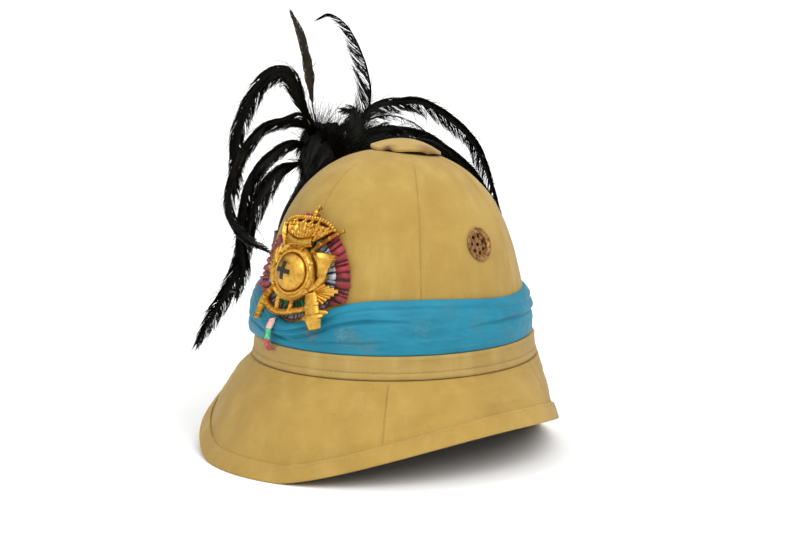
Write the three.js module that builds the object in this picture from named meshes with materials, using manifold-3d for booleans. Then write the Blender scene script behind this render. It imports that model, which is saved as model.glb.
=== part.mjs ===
// A cloth-covered pith helmet with a silk sash, a ribbon cockade, a gilt badge and a feather plume.
// Millimetres, +Z up. The front is -Y and the wearer's left is +X. It rests on the rim of its brim.

import * as THREE from 'three';
import { mergeVertices } from 'three/addons/utils/BufferGeometryUtils.js';
import Module from 'manifold-3d';

const wasm = await Module();
wasm.setup();

// Driving dimensions

const GAP = 0.3; // clearance between pieces that touch
const COLUMNS = 40; // steps round the head in every ring-shaped piece

const crown = {
  width: 200, // outside, across the foot
  length: 230, // outside, front to rear at the foot
  height: 160, // from the foot to the top
  wall: 6, // pith and cloth
  lean: 7, // how far the top stands forward
  foot: 72, // height of the foot above the surface it rests on
  shoulder: 4.06, // how late the side turns in
  dome: 2.25, // how round the top is
  taper: 0.2, // share of the foot lost by the top before the dome closes
};

const brim = {
  width: 272, // across the side rims
  front: 166, // reach of the front rim from the crown's middle
  rear: 142, // reach of the rear rim
  rearTaper: 0.25, // share of its width that the rim has lost at the rear
  wall: 5, // pith and cloth
  lip: 5, // depth of the inner edge under the crown's foot
  swell: 3, // how far the slope bulges halfway down, at the front
  rearSwell: 0,
  sideRise: 35, // height of the rim at the sides
  restHalfAngle: 16, // half of the arc that rests flat, at the front and at the rear, degrees
  riseCurve: 1.3,
};

const binding = { flap: 12, thick: 1.5 };

const hatband = { height: 17.5, thick: 3.6, hem: 5, hemSwell: 0.6 };

const sash = {
  top: 58.5, // height of its upper edge above the crown's foot
  rearTop: 53, // the same height at the rear
  rearStart: 60, // where the edge starts to fall towards the rear, degrees
  rearEnd: 115,
  dip: 22, // how far the edge is drawn down under the cockade
  dipAngle: 22, // half width of that dip, degrees
  edge: 2, // thickness at its edges
  belly: 2.6,
  fold: 2.2,
  folds: 3,
  drift: 0.3, // how far the folds wander up and down, in folds
  bulge: 8, // how far the bunched silk stands out on the wearer's right
  bulgeTurn: -53,
  bulgeWidth: 20,
};

const cockade = {
  radius: 44,
  turn: 1.7, // degrees towards the wearer's left
  rise: 71, // centre above the crown's foot
  paleRadius: 33,
  greenRadius: 24,
  hole: 6,
  tuck: 1.5, // width left of a ring where the sash cuts it short
  ribbon: 1.2, // thickness of the pleated ribbon
  pleat: 2.6, // height of the pleats
  pleats: 16,
  greenPleats: 12,
};

const badge = {
  turn: 1.7,
  rise: 73,
  tilt: 6, // clockwise as seen from the front, degrees
  back: 5.4, // where its back stands off the crown, over the cockade
  plate: 3,
  overSash: 2, // how much further out the piece that crosses the sash lies
  bossRadius: 14,
  bossHeight: 10.5, // from the badge's back to the top of the boss
  rim: 1.6, // width of the raised ring round the boss
  coilRadius: 17.8,
  coilTube: 2.6,
  barrelRelief: 0.6, // height of a cast barrel as a share of its width
  crestFoot: 40, // top of the crown above the boss's centre
  crestLeft: 4.2, // and towards the wearer's left
  orb: 2.2,
  finialArm: 1.8,
  crossArm: 7, // of the cross cut through the boss
  crossBar: 3.8,
};

const loop = { width: 5, thick: 1.5 };

const ventilator = {
  radius: 27,
  dome: 10.7, // height of the cap's curve
  rim: -3.1, // height of the cap's rim beside the crown's top
  cloth: 2.6,
  collarRadius: 12,
  collarWall: 2.6,
  collarDepth: 8, // how far the collar goes down into the crown
  back: 13, // distance behind the crown's highest point
  tilt: 6, // degrees, down towards the rear
  windows: 4, // round the collar, cut in pairs
  windowHeight: 2.2,
};

const sideVent = {
  turn: 94,
  rise: 95,
  flangeRadius: 12.7,
  flange: 1.2,
  tubeRadius: 10.4,
  plate: 1.2,
  recess: 1,
  hole: 1.6,
  holes: 7,
  holeCircle: 6.6,
};

const socket = {
  turn: -72,
  height: 24,
  radius: 7.5,
  wall: 1.4,
  standOff: 10.2, // from the crown to the tube's middle line
  foot: 3.5,
  footRadius: 9,
  aboveSash: 1.5,
};

const plume = {
  stemSides: 8,
  neckRadius: 6,
  headRadius: 14,
  vane: 17, // full width of a feather strip
  quill: 2.2, // thickness of a strip at its middle
  rise: 60, // from the socket to where the feathers spread
  spread: new THREE.Vector3(-84, -2, crown.foot + 146), // where they spread
  hiddenFeathers: 6,
  hiddenReach: 72, // how far the feathers on the wearer's right hang out
  hiddenClimb: 58,
  hiddenDroop: 115,
};

// Heights of the crown's rows, as shares of its height
const OUTER_ROWS = [0, 0.12, 0.25, 0.38, 0.5, 0.61, 0.71, 0.8, 0.87, 0.92, 0.96, 0.99];
const INNER_ROWS = [0.99, 0.9, 0.7, 0.38];

// Feathers that rise, arch back and hang in front, as points in millimetres.
// Columns: out from the crown's middle on the wearer's right, towards the rear, above the crown's foot
const FEATHERS = {
  tall: [[86, 0, 143], [95, 0, 182], [110, 0, 221], [118, 0, 241], [129, 0, 259]],
  curled: [[83, 22, 158], [72, 32, 187], [81, 35, 226], [96, 35, 246], [119, 25, 256]],
  highBack: [[80, 20, 160], [80, 45, 183], [82, 80, 187], [76, 110, 183], [66, 155, 150], [54, 175, 93]],
  lowBack: [[78, 15, 152], [74, 40, 174], [72, 72, 177], [66, 100, 167], [43, 125, 147], [25, 140, 106]],
  broadFront: [[76, -10, 158], [66, -40, 186], [63, -62, 217], [74, -80, 208], [84, -95, 169], [78, -100, 124]],
  middleFront: [[74, -12, 156], [65, -45, 177], [69, -80, 175], [71, -108, 140], [60, -122, 109], [30, -130, 93]],
  innerFront: [[74, -14, 150], [62, -55, 162], [62, -90, 150], [65, -105, 118], [68, -112, 101]],
  lowFront: [[72, -16, 144], [62, -68, 142], [58, -100, 112], [55, -118, 70], [69, -126, 39], [86, -131, 9]],
};

// Helpers for angles, bodies and joins

const radians = (degrees) => THREE.MathUtils.degToRad(degrees);

const turnOf = (column) => (column / COLUMNS) * 2 * Math.PI;

function geometryFrom(positions, index) {
  const geometry = new THREE.BufferGeometry();
  geometry.setAttribute('position', new THREE.Float32BufferAttribute(positions, 3));
  geometry.setIndex(index);
  return geometry;
}

// Six times the volume inside a triangle list, negative where the faces point in
function signedVolume(positions, index) {
  const a = new THREE.Vector3();
  const b = new THREE.Vector3();
  const c = new THREE.Vector3();
  let sum = 0;
  for (let i = 0; i < index.length; i += 3) {
    a.fromArray(positions, index[i] * 3);
    b.fromArray(positions, index[i + 1] * 3);
    c.fromArray(positions, index[i + 2] * 3);
    sum += a.dot(b.cross(c));
  }
  return sum;
}

// A closed body through rings of points. A loop joins its last ring to its first,
// and any other body has its two end rings filled
function bodyThroughRings(rings, isLoop) {
  const count = rings[0].length;
  const positions = rings.flat().flatMap((point) => [point.x, point.y, point.z]);
  const index = [];
  const bands = isLoop ? rings.length : rings.length - 1;
  for (let i = 0; i < bands; i += 1) {
    const near = i * count;
    const far = ((i + 1) % rings.length) * count;
    for (let j = 0; j < count; j += 1) {
      const next = (j + 1) % count;
      index.push(near + j, near + next, far + j);
      index.push(near + next, far + next, far + j);
    }
  }
  if (!isLoop) {
    const last = (rings.length - 1) * count;
    for (let j = 1; j < count - 1; j += 1) {
      index.push(0, j + 1, j);
      index.push(last, last + j, last + j + 1);
    }
  }
  if (signedVolume(positions, index) < 0) index.reverse();
  return geometryFrom(positions, index);
}

// A ring-shaped body round the head: sectionAt gives the closed outline at each turn
function bodyRoundHead(sectionAt) {
  const rings = [];
  for (let column = 0; column < COLUMNS; column += 1) rings.push(sectionAt(turnOf(column)));
  return bodyThroughRings(rings, true);
}

function toSolid(geometry) {
  const bare = geometry.clone();
  bare.deleteAttribute('normal');
  bare.deleteAttribute('uv');
  const merged = mergeVertices(bare, 1e-4);
  const vertProperties = new Float32Array(merged.attributes.position.array);
  const triVerts = new Uint32Array(merged.index.array);
  return new wasm.Manifold(new wasm.Mesh({ numProp: 3, vertProperties, triVerts }));
}

function toGeometry(solid) {
  const mesh = solid.getMesh();
  return geometryFrom(Array.from(mesh.vertProperties), Array.from(mesh.triVerts));
}

const join = (geometries) => toGeometry(geometries.map(toSolid).reduce((all, next) => all.add(next)));

const cut = (geometry, tools) => {
  const body = tools.map(toSolid).reduce((left, tool) => left.subtract(tool), toSolid(geometry));
  return toGeometry(body);
};

// The crown's outer surface

function crownShare(share) {
  const closing = Math.pow(1 - Math.pow(share, crown.shoulder), 1 / crown.dome);
  return closing * (1 - crown.taper * share);
}

function crownSurface(turn, rise) {
  const share = Math.min(Math.max(rise / crown.height, 0), 1);
  const size = crownShare(share);
  const x = (crown.width / 2) * size * Math.sin(turn);
  const y = -crown.lean * share - (crown.length / 2) * size * Math.cos(turn);
  return new THREE.Vector3(x, y, crown.foot + rise);
}

function crownNormal(turn, rise) {
  const step = 1e-3;
  const low = Math.min(Math.max(rise, step), crown.height * 0.999);
  const across = crownSurface(turn + step, low).sub(crownSurface(turn - step, low));
  const up = crownSurface(turn, low + step).sub(crownSurface(turn, low - step));
  return across.cross(up).normalize();
}

const crownPoint = (turn, rise, out) => crownSurface(turn, rise).addScaledVector(crownNormal(turn, rise), out);

// A frame on the crown: x across to the wearer's left, y up the surface, z straight out
function crownFrame(turn, rise, out) {
  const outward = crownNormal(turn, rise);
  const across = new THREE.Vector3(0, 0, 1).cross(outward).normalize();
  const up = outward.clone().cross(across);
  return new THREE.Matrix4().makeBasis(across, up, outward).setPosition(crownPoint(turn, rise, out));
}

// A point on the crown's front from lengths along the surface: left of a centre, above it, and out
function frontPoint(centre, left, above, out) {
  const reach = (crown.width / 2) * crownShare(centre.rise / crown.height);
  return crownPoint(radians(centre.turn) + left / reach, centre.rise + above, out);
}

// Crown

const sideVentHole = sideVent.tubeRadius + GAP;

function ventDrill(side) {
  const drill = new THREE.CylinderGeometry(sideVentHole, sideVentHole, crown.wall * 4, 16);
  drill.rotateX(Math.PI / 2);
  return drill.applyMatrix4(crownFrame(side * radians(sideVent.turn), sideVent.rise, 0));
}

const capPlace = new THREE.Matrix4()
  .makeTranslation(0, ventilator.back - crown.lean, crown.foot + crown.height)
  .multiply(new THREE.Matrix4().makeRotationX(-radians(ventilator.tilt)));

function makeCrown() {
  const ringAt = (share, out) => {
    const ring = [];
    for (let column = 0; column < COLUMNS; column += 1) {
      ring.push(crownPoint(turnOf(column), share * crown.height, out));
    }
    return ring;
  };
  const inside = INNER_ROWS.map((share) => ringAt(share, -crown.wall));
  const foot = ringAt(0, -crown.wall).map((point) => point.setZ(crown.foot));
  const outside = OUTER_ROWS.map((share) => ringAt(share, 0));
  const shell = bodyThroughRings([...inside, foot, ...outside], false);
  const topHole = ventilator.collarRadius + GAP;
  const topDrill = new THREE.CylinderGeometry(topHole, topHole, crown.wall * 6, 20);
  topDrill.rotateX(Math.PI / 2).applyMatrix4(capPlace);
  return cut(shell, [topDrill, ventDrill(1), ventDrill(-1)]);
}

// Brim and its binding

const ledge = hatband.thick + GAP * 5;

// Height of the rim: flat at the front and rear, and rising to the sides
function rimRise(turn) {
  const fromFront = Math.abs(THREE.MathUtils.radToDeg(Math.atan2(Math.sin(turn), Math.cos(turn))));
  const fromEnd = Math.min(fromFront, 180 - fromFront);
  const share = Math.max(fromEnd - brim.restHalfAngle, 0) / (90 - brim.restHalfAngle);
  return brim.sideRise * Math.pow(Math.sin((share * Math.PI) / 2), brim.riseCurve);
}

// The brim's outline at one turn, as named corners in the upright plane there
function brimPlane(turn) {
  const foot = crownSurface(turn, 0);
  const ahead = Math.cos(turn);
  const reachAlong = ahead > 0 ? brim.front : brim.rear;
  const width = brim.width * (1 - brim.rearTaper * Math.max(-ahead, 0) ** 2);
  const rim = new THREE.Vector3((width / 2) * Math.sin(turn), -reachAlong * ahead, 0);
  const outward = rim.clone().sub(foot).setZ(0);
  const reach = outward.length();
  outward.normalize();
  const at = (out, height) => foot.clone().addScaledVector(outward, out).setZ(height);
  const top = crown.foot - GAP;
  const floor = rimRise(turn) + binding.thick + GAP;
  const fall = top - floor;
  const edge = reach - (binding.thick + GAP) / Math.tan(Math.atan2(fall, reach - ledge) / 2);
  const slope = Math.atan2(fall, edge - ledge);
  const swell = THREE.MathUtils.mapLinear(ahead, 1, -1, brim.swell, brim.rearSwell);
  return { at, top, floor, slope, edge, swell, across: brim.wall / Math.sin(slope), bottom: rimRise(turn) };
}

// Points down a slope of the brim that ends at the rim, as shares of the way from a height
// to the straight stretch under the binding
function slopePoints(plane, end, height, shares) {
  const fall = height - plane.floor;
  const length = fall / Math.sin(plane.slope);
  const straight = 1 - (binding.flap + 2) / length;
  return shares.map((share) => {
    const left = length * (1 - share * straight);
    const swell = plane.swell * Math.sin(Math.PI * share);
    const out = end - left * Math.cos(plane.slope) + swell * Math.sin(plane.slope);
    return [out, plane.floor + left * Math.sin(plane.slope) + swell * Math.cos(plane.slope)];
  });
}

function makeBrim() {
  return bodyRoundHead((turn) => {
    const plane = brimPlane(turn);
    const lipFloor = plane.top - brim.lip;
    const inner = plane.edge - plane.across;
    const outline = [
      [-crown.wall, plane.top],
      ...slopePoints(plane, plane.edge, plane.top, [0, 0.33, 0.66, 1]),
      [plane.edge, plane.floor],
      [inner, plane.floor],
      ...slopePoints(plane, inner, lipFloor, [1, 0.5, 0]),
      [-crown.wall, lipFloor],
    ];
    return outline.map(([out, height]) => plane.at(out, height));
  });
}

function makeBinding() {
  return bodyRoundHead((turn) => {
    const plane = brimPlane(turn);
    const { slope, edge, floor, across, bottom } = plane;
    const flapPoint = (base, out) => [
      base - binding.flap * Math.cos(slope) + out * Math.sin(slope),
      floor + binding.flap * Math.sin(slope) + out * Math.cos(slope),
    ];
    // Where a line beside the slope, at a distance out from it, meets a level
    const meeting = (base, out, level) => [
      base + out * Math.sin(slope) + (floor + out * Math.cos(slope) - level) / Math.tan(slope),
      level,
    ];
    const skin = binding.thick + GAP;
    const inner = edge - across;
    // In the brim's own order, so that the faces of both are split along the same diagonals
    const outline = [
      flapPoint(edge, GAP),
      meeting(edge, GAP, floor - GAP),
      meeting(inner, -GAP, floor - GAP),
      flapPoint(inner, -GAP),
      flapPoint(inner, -skin),
      meeting(inner, -skin, bottom),
      meeting(edge, skin, bottom),
      flapPoint(edge, skin),
    ];
    return outline.map(([out, height]) => plane.at(out, height));
  });
}

// Hatband

function makeHatband() {
  return bodyRoundHead((turn) => [
    crownPoint(turn, 0, GAP),
    crownPoint(turn, 0, hatband.thick + hatband.hemSwell),
    crownPoint(turn, hatband.hem, hatband.thick + hatband.hemSwell),
    crownPoint(turn, hatband.hem * 1.3, hatband.thick),
    crownPoint(turn, hatband.height, hatband.thick),
    crownPoint(turn, hatband.height, GAP),
  ]);
}

// Sash

const sashFoot = hatband.height + GAP;

// Degrees from the front, positive towards the wearer's left
const fromFront = (turn) => THREE.MathUtils.radToDeg(Math.atan2(Math.sin(turn), Math.cos(turn)));

function sashTop(turn) {
  const degrees = fromFront(turn);
  const fall = THREE.MathUtils.smoothstep(Math.abs(degrees), sash.rearStart, sash.rearEnd);
  const dip = sash.dip * Math.exp(-Math.pow(degrees / sash.dipAngle, 2));
  return THREE.MathUtils.lerp(sash.top, sash.rearTop, fall) - dip;
}

// How far the sash stands out at a share of its height
function sashDepth(turn, share) {
  const wander = sash.drift * (Math.sin(turn) + 0.6 * Math.sin(2 * turn + 1));
  const ridge = 0.5 - 0.5 * Math.cos(2 * Math.PI * (sash.folds * share + wander));
  const rounding = Math.sqrt(Math.sin(Math.PI * share));
  const bulge = sash.bulge * Math.exp(-Math.pow((fromFront(turn) - sash.bulgeTurn) / sash.bulgeWidth, 2));
  return sash.edge + rounding * (sash.belly + sash.fold * ridge + bulge);
}

function sashPoint(turn, share, out) {
  return crownPoint(turn, sashFoot + share * (sashTop(turn) - sashFoot), out);
}

function makeSash() {
  const faceShares = [0, 0.08, 0.22, 0.36, 0.5, 0.64, 0.78, 0.92, 1];
  const backShares = [1, 0.5, 0];
  return bodyRoundHead((turn) => [
    ...faceShares.map((share) => sashPoint(turn, share, sashDepth(turn, share))),
    ...backShares.map((share) => sashPoint(turn, share, GAP)),
  ]);
}

// Cockade: three rings of pleated ribbon, tucked behind the sash at the bottom

function makeCockadeRing(inner, outer, pleats, ringsOutside) {
  const steps = pleats * 4;
  const centreReach = (crown.width / 2) * crownShare(cockade.rise / crown.height);
  // The ring stops at the sash's upper edge, or at the ring outside it
  const covered = GAP * 4 + ringsOutside * (cockade.tuck + GAP);
  const reachAt = (angle, radius, tuck) => {
    const turn = radians(cockade.turn) + (radius * Math.cos(angle)) / centreReach;
    const room = cockade.rise - sashTop(turn) - covered - tuck;
    const down = -Math.sin(angle) * radius;
    return down > room ? (radius * room) / down : radius;
  };
  const rings = [];
  for (let step = 0; step < steps; step += 1) {
    const angle = (step / steps) * 2 * Math.PI;
    const lift = GAP + (cockade.pleat / 2) * (1 + Math.cos(angle * pleats));
    const at = (radius, out) => {
      const reach = reachAt(angle, radius, radius === inner ? cockade.tuck : 0);
      return frontPoint(cockade, reach * Math.cos(angle), reach * Math.sin(angle), out);
    };
    rings.push([
      at(inner, lift),
      at(outer, lift),
      at(outer, lift + cockade.ribbon),
      at(inner, lift + cockade.ribbon),
    ]);
  }
  return bodyThroughRings(rings, true);
}

// Badge: everything is laid out flat, turned by the badge's tilt and bent round the crown

function badgePoint(left, above, out) {
  const tilt = -radians(badge.tilt);
  const x = left * Math.cos(tilt) - above * Math.sin(tilt);
  const y = left * Math.sin(tilt) + above * Math.cos(tilt);
  return frontPoint(badge, x, y, badge.back + out);
}

// A raised bar along flat points. Rows: left, above, width, height
function badgeBar(rows, lift = 0) {
  const rings = rows.map(([left, above, width, height], i) => {
    const before = rows[Math.max(i - 1, 0)];
    const after = rows[Math.min(i + 1, rows.length - 1)];
    const along = new THREE.Vector2(after[0] - before[0], after[1] - before[1]).normalize();
    const at = (side, out) => {
      const across = (side * width) / 2;
      return badgePoint(left - along.y * across, above + along.x * across, lift + out);
    };
    return [at(-1, 0), at(-0.6, height), at(0.6, height), at(1, 0)];
  });
  return bodyThroughRings(rings, false);
}

// A round wire bent into a circle or an arc, about the boss
function badgeWire(radius, tube, start, end, steps, lift) {
  const sides = 5;
  const isLoop = end - start >= 360;
  const rings = [];
  for (let step = 0; step < (isLoop ? steps : steps + 1); step += 1) {
    const angle = radians(start + ((end - start) * step) / steps);
    const ring = [];
    for (let side = 0; side < sides; side += 1) {
      const around = (side / sides) * 2 * Math.PI;
      const reach = radius + tube * Math.cos(around);
      ring.push(badgePoint(reach * Math.cos(angle), reach * Math.sin(angle), lift + tube * Math.sin(around)));
    }
    rings.push(ring);
  }
  return bodyThroughRings(rings, isLoop);
}

// A round tapering body along a flat line. Rows: left, above, radius, lift of its middle
function badgeBarrel(rows, sides) {
  const [first, last] = [rows[0], rows[rows.length - 1]];
  const along = new THREE.Vector2(last[0] - first[0], last[1] - first[1]).normalize();
  const rings = rows.map(([left, above, radius, lift]) => {
    const ring = [];
    for (let side = 0; side < sides; side += 1) {
      const around = (side / sides) * 2 * Math.PI;
      const across = radius * Math.cos(around);
      const out = lift + radius * badge.barrelRelief * Math.sin(around);
      ring.push(badgePoint(left - along.y * across, above + along.x * across, out));
    }
    return ring;
  });
  return bodyThroughRings(rings, false);
}

function badgeBoss() {
  const steps = 20;
  const ringOf = (radius, out) => {
    const ring = [];
    for (let step = 0; step < steps; step += 1) {
      const angle = (step / steps) * 2 * Math.PI;
      ring.push(badgePoint(radius * Math.cos(angle), radius * Math.sin(angle), out));
    }
    return ring;
  };
  const { bossRadius, bossHeight, rim, plate } = badge;
  const back = [ringOf(bossRadius / 3, 0), ringOf(bossRadius + rim, 0)];
  const rimFace = [ringOf(bossRadius + rim, plate + rim), ringOf(bossRadius, plate + rim * 1.4)];
  const dome = [0.93, 0.78, 0.5, 0.2].map((share) => (
    ringOf(bossRadius * share, plate + (bossHeight - plate) * Math.sqrt(1 - share * share))));
  return bodyThroughRings([...back, ...rimFace, ...dome], false);
}

function makeBadge() {
  const { plate } = badge;
  // The badge's crown stands over the boss, a little to the wearer's left and one corner higher
  const body = badgeBar([
    [-21.5, 29.5, 7, plate], [-14, 28.4, 10, plate], [-5, 28.6, 11.5, plate], [3, 29.2, 11.5, plate],
    [12, 30.6, 11, plate], [19, 32.2, 9, plate], [25, 34.2, 4.5, plate],
  ]);
  const band = badgeBar([[-13, 20.4, 4.6, plate * 1.5], [-6, 20.5, 5, plate * 1.7], [1, 21.2, 5, plate * 1.7],
    [8.8, 22.5, 4.6, plate * 1.5]]);
  const arch = badgeBar([[-22.5, 29.5, 2.8, plate], [-20.5, 33.4, 2.8, plate], [-10.3, 36.8, 3, plate],
    [3.4, 38.8, 3, plate], [12.8, 39, 3, plate], [20.4, 37.4, 3, plate], [26, 34.4, 2.6, plate]]);
  const ribs = [[-13, 36], [-3, 38], [4.2, 39], [10.5, 39], [21, 37.4]].map(([left, top]) => (
    badgeBar([[left - 1, 31, 3, plate * 1.2], [left, top, 3, plate * 1.2]])));
  const { crestFoot: crest, crestLeft: side, orb: ball, finialArm: fine } = badge;
  const orb = badgeBarrel([[side, crest, ball / 2, ball * 0.7], [side, crest + ball * 0.7, ball, ball * 0.7],
    [side, crest + ball * 1.6, ball, ball * 0.7], [side, crest + ball * 2.3, ball / 2, ball * 0.7]], 6);
  const crestTop = crest + ball * 2;
  const finial = badgeBar([[side, crestTop, fine * 0.6, fine], [side, crestTop + fine * 2, fine * 0.6, fine]]);
  const finialArm = badgeBar([[side - fine, crestTop + fine * 1.2, fine * 0.6, fine],
    [side + fine, crestTop + fine * 1.2, fine * 0.6, fine]]);
  const coil = badgeWire(badge.coilRadius, badge.coilTube, 0, 360, 20, badge.coilTube);
  const bellNeck = badgeBar([[13.5, -12, 4.6, plate * 1.5], [20.5, -6, 5.4, plate * 1.5],
    [25, 4, 6.6, plate * 1.5]]);
  const bell = badgeBarrel([[25.1, 2, 3.2, 4], [25.1, 7, 4, 4.4], [25.2, 12, 6, 5], [25.2, 17, 8.8, 5.6]], 9);
  const muskets = [
    badgeBar([[9, 13, 4.2, plate], [18, 24.5, 4, plate], [32.8, 36.5, 2.2, plate]]),
    badgeBar([[-12.5, -12, 4.4, plate], [-22.5, -23, 4, plate], [-26.5, -33, 3.4, plate],
      [-29.8, -42.9, 2, plate]], badge.overSash),
    badgeBar([[-9.6, 12.4, 4.4, plate], [-16, 17.5, 4, plate], [-22, 24, 3.4, plate]]),
  ];
  const cannon = badgeBarrel([[11.5, -10, 6, 4], [16, -17, 6.6, 4.6], [24, -29, 6.2, 6.8], [26, -32, 6.8, 7.4],
    [27.4, -34.4, 5.6, 7.6]], 8);
  const spike = badgeBar([[22, -21, 5, plate], [31.4, -20.8, 1.4, plate]]);
  const banner = badgeBar([[22, -8.5, 13, plate], [28, -8, 10.5, plate], [37.5, -5, 1.8, plate * 0.8]]);
  const garland = [
    badgeBar([[-24, -26, 3, plate], [-19, -29.3, 3.6, plate], [-10, -31, 3.8, plate], [-1.2, -29.7, 3.8, plate],
      [12.6, -24.6, 3.6, plate], [19, -21, 3.4, plate]]),
    badgeBar([[-8, -16, 3.2, plate], [-8.5, -30, 3, plate]]),
    badgeBar([[5, -17, 3.2, plate], [4, -28, 3, plate]]),
  ];
  const arm = badge.crossArm;
  const cross = [[arm, badge.crossBar / 2], [badge.crossBar / 2, arm]].map(([wide, tall]) => {
    const tool = new THREE.BoxGeometry(wide * 2, tall * 2, badge.bossHeight);
    tool.translate(0, 0, badge.bossHeight / 2).rotateZ(-radians(badge.tilt));
    return tool.applyMatrix4(crownFrame(radians(badge.turn), badge.rise, badge.back + plate + badge.rim));
  });
  const whole = join([body, band, arch, ...ribs, orb, finial, finialArm, coil, badgeBoss(), bellNeck, bell,
    ...muskets, cannon, spike, banner, ...garland]);
  return cut(whole, cross);
}

// Ribbon loop over the sash. Rows: left of the badge's centre, share of the sash's height there
function makeLoop() {
  const rows = [[-7, 0.96], [-15, 0.9], [-20, 0.74], [-22, 0.5], [-20, 0.26], [-14, 0.1], [-6, 0.06]];
  const reach = (crown.width / 2) * crownShare(badge.rise / crown.height);
  const rings = rows.map(([left, share], i) => {
    const before = rows[Math.max(i - 1, 0)];
    const after = rows[Math.min(i + 1, rows.length - 1)];
    const height = sashTop(0) - sashFoot;
    const along = new THREE.Vector2(after[0] - before[0], (after[1] - before[1]) * height).normalize();
    const at = (side, out) => {
      const across = (side * loop.width) / 2;
      const turn = radians(badge.turn) + (left - along.y * across) / reach;
      const place = share + (along.x * across) / height;
      const cover = sash.edge + sash.belly + sash.fold;
      return sashPoint(turn, THREE.MathUtils.clamp(place, 0, 1), cover + GAP + out);
    };
    return [at(-1, 0), at(-1, loop.thick), at(1, loop.thick), at(1, 0)];
  });
  return bodyThroughRings(rings, false);
}

// Ventilator cap: a cloth-covered dome on a collar with windows under its rim

function makeVentilatorCap() {
  const { radius, dome, rim, cloth, collarRadius, collarDepth, windowHeight } = ventilator;
  const collarInner = collarRadius - ventilator.collarWall;
  const underside = (out) => rim + (dome - cloth) * (1 - (out / radius) ** 2);
  const outline = [[collarInner, -collarDepth], [collarRadius, -collarDepth],
    [collarRadius, underside(collarRadius)]];
  for (const share of [0.8, 1]) outline.push([radius * share, underside(radius * share)]);
  outline.push([radius + 0.6, rim + cloth / 2]);
  for (const share of [1, 0.8, 0.55, 0.3]) outline.push([radius * share, underside(radius * share) + cloth]);
  outline.push([0, rim + dome], [0, underside(0)], [collarInner, underside(collarInner)]);
  const points = outline.map(([out, height]) => new THREE.Vector2(out, height));
  const body = new THREE.LatheGeometry([...points, points[0]], 18).rotateX(Math.PI / 2);
  const windows = [];
  for (let i = 0; i < ventilator.windows / 2; i += 1) {
    const tool = new THREE.BoxGeometry(collarRadius * 3, 6, windowHeight);
    tool.translate(0, 0, windowHeight / 2).rotateZ((i * 2 * Math.PI) / ventilator.windows);
    windows.push(tool);
  }
  return cut(body, windows);
}

// Side ventilator: a pierced plate sunk in a flanged tube

function makeSideVent() {
  const inner = sideVent.tubeRadius - 1.6;
  const outline = [
    [0, -sideVent.recess - sideVent.plate], [inner, -sideVent.recess - sideVent.plate],
    [inner, -crown.wall - 1], [sideVent.tubeRadius, -crown.wall - 1], [sideVent.tubeRadius, 0],
    [sideVent.flangeRadius, 0], [sideVent.flangeRadius - 0.4, sideVent.flange],
    [inner + 0.4, sideVent.flange], [inner, -sideVent.recess], [0, -sideVent.recess],
  ];
  const points = outline.map(([out, height]) => new THREE.Vector2(out, height));
  const body = new THREE.LatheGeometry(points, 14).rotateX(Math.PI / 2);
  const drills = [];
  for (let i = 0; i <= sideVent.holes; i += 1) {
    const drill = new THREE.CylinderGeometry(sideVent.hole, sideVent.hole, sideVent.plate * 6, 6);
    const angle = (i / sideVent.holes) * 2 * Math.PI;
    const out = i === sideVent.holes ? 0 : sideVent.holeCircle;
    drill.rotateX(Math.PI / 2).translate(out * Math.cos(angle), out * Math.sin(angle), -sideVent.recess);
    drills.push(drill);
  }
  return cut(body, drills);
}

// Plume and its socket on the wearer's right

const socketRise = sash.top + socket.aboveSash + socket.height / 2;
const socketFrame = crownFrame(radians(socket.turn), socketRise, GAP);

const socketPoint = (height) => new THREE.Vector3(0, height, socket.standOff).applyMatrix4(socketFrame);

function makeSocket() {
  const { radius, wall, height, standOff, foot, footRadius } = socket;
  const cup = [[0, -height / 2], [radius, -height / 2], [radius, height / 2], [radius - wall, height / 2],
    [radius - wall, wall - height / 2], [0, wall - height / 2]];
  const tube = new THREE.LatheGeometry(cup.map(([out, up]) => new THREE.Vector2(out, up)), 14);
  tube.translate(0, 0, standOff);
  const plate = new THREE.CylinderGeometry(footRadius, footRadius, foot, 14).rotateX(Math.PI / 2);
  plate.translate(0, 0, foot / 2);
  return join([tube, plate]).applyMatrix4(socketFrame);
}

// A flat feather strip along points, thickest at its quill, with its vane across the outward direction
function featherStrip(points, width) {
  const curve = new THREE.CatmullRomCurve3(points);
  const steps = 7;
  const rings = [];
  for (let step = 0; step <= steps; step += 1) {
    const share = step / steps;
    const place = curve.getPointAt(share);
    const along = curve.getTangentAt(share);
    const outward = new THREE.Vector3(place.x, place.y * 0.4, 0).normalize();
    const vane = along.clone().cross(outward).normalize();
    const face = vane.clone().cross(along).normalize();
    const half = (width / 2) * (0.25 + 0.75 * Math.sin(Math.PI * Math.pow(share, 0.8)));
    const thick = (plume.quill / 2) * (1 - 0.5 * share);
    rings.push([
      place.clone().addScaledVector(vane, half),
      place.clone().addScaledVector(face, thick),
      place.clone().addScaledVector(vane, -half),
      place.clone().addScaledVector(face, -thick),
    ]);
  }
  return bodyThroughRings(rings, false);
}

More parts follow.
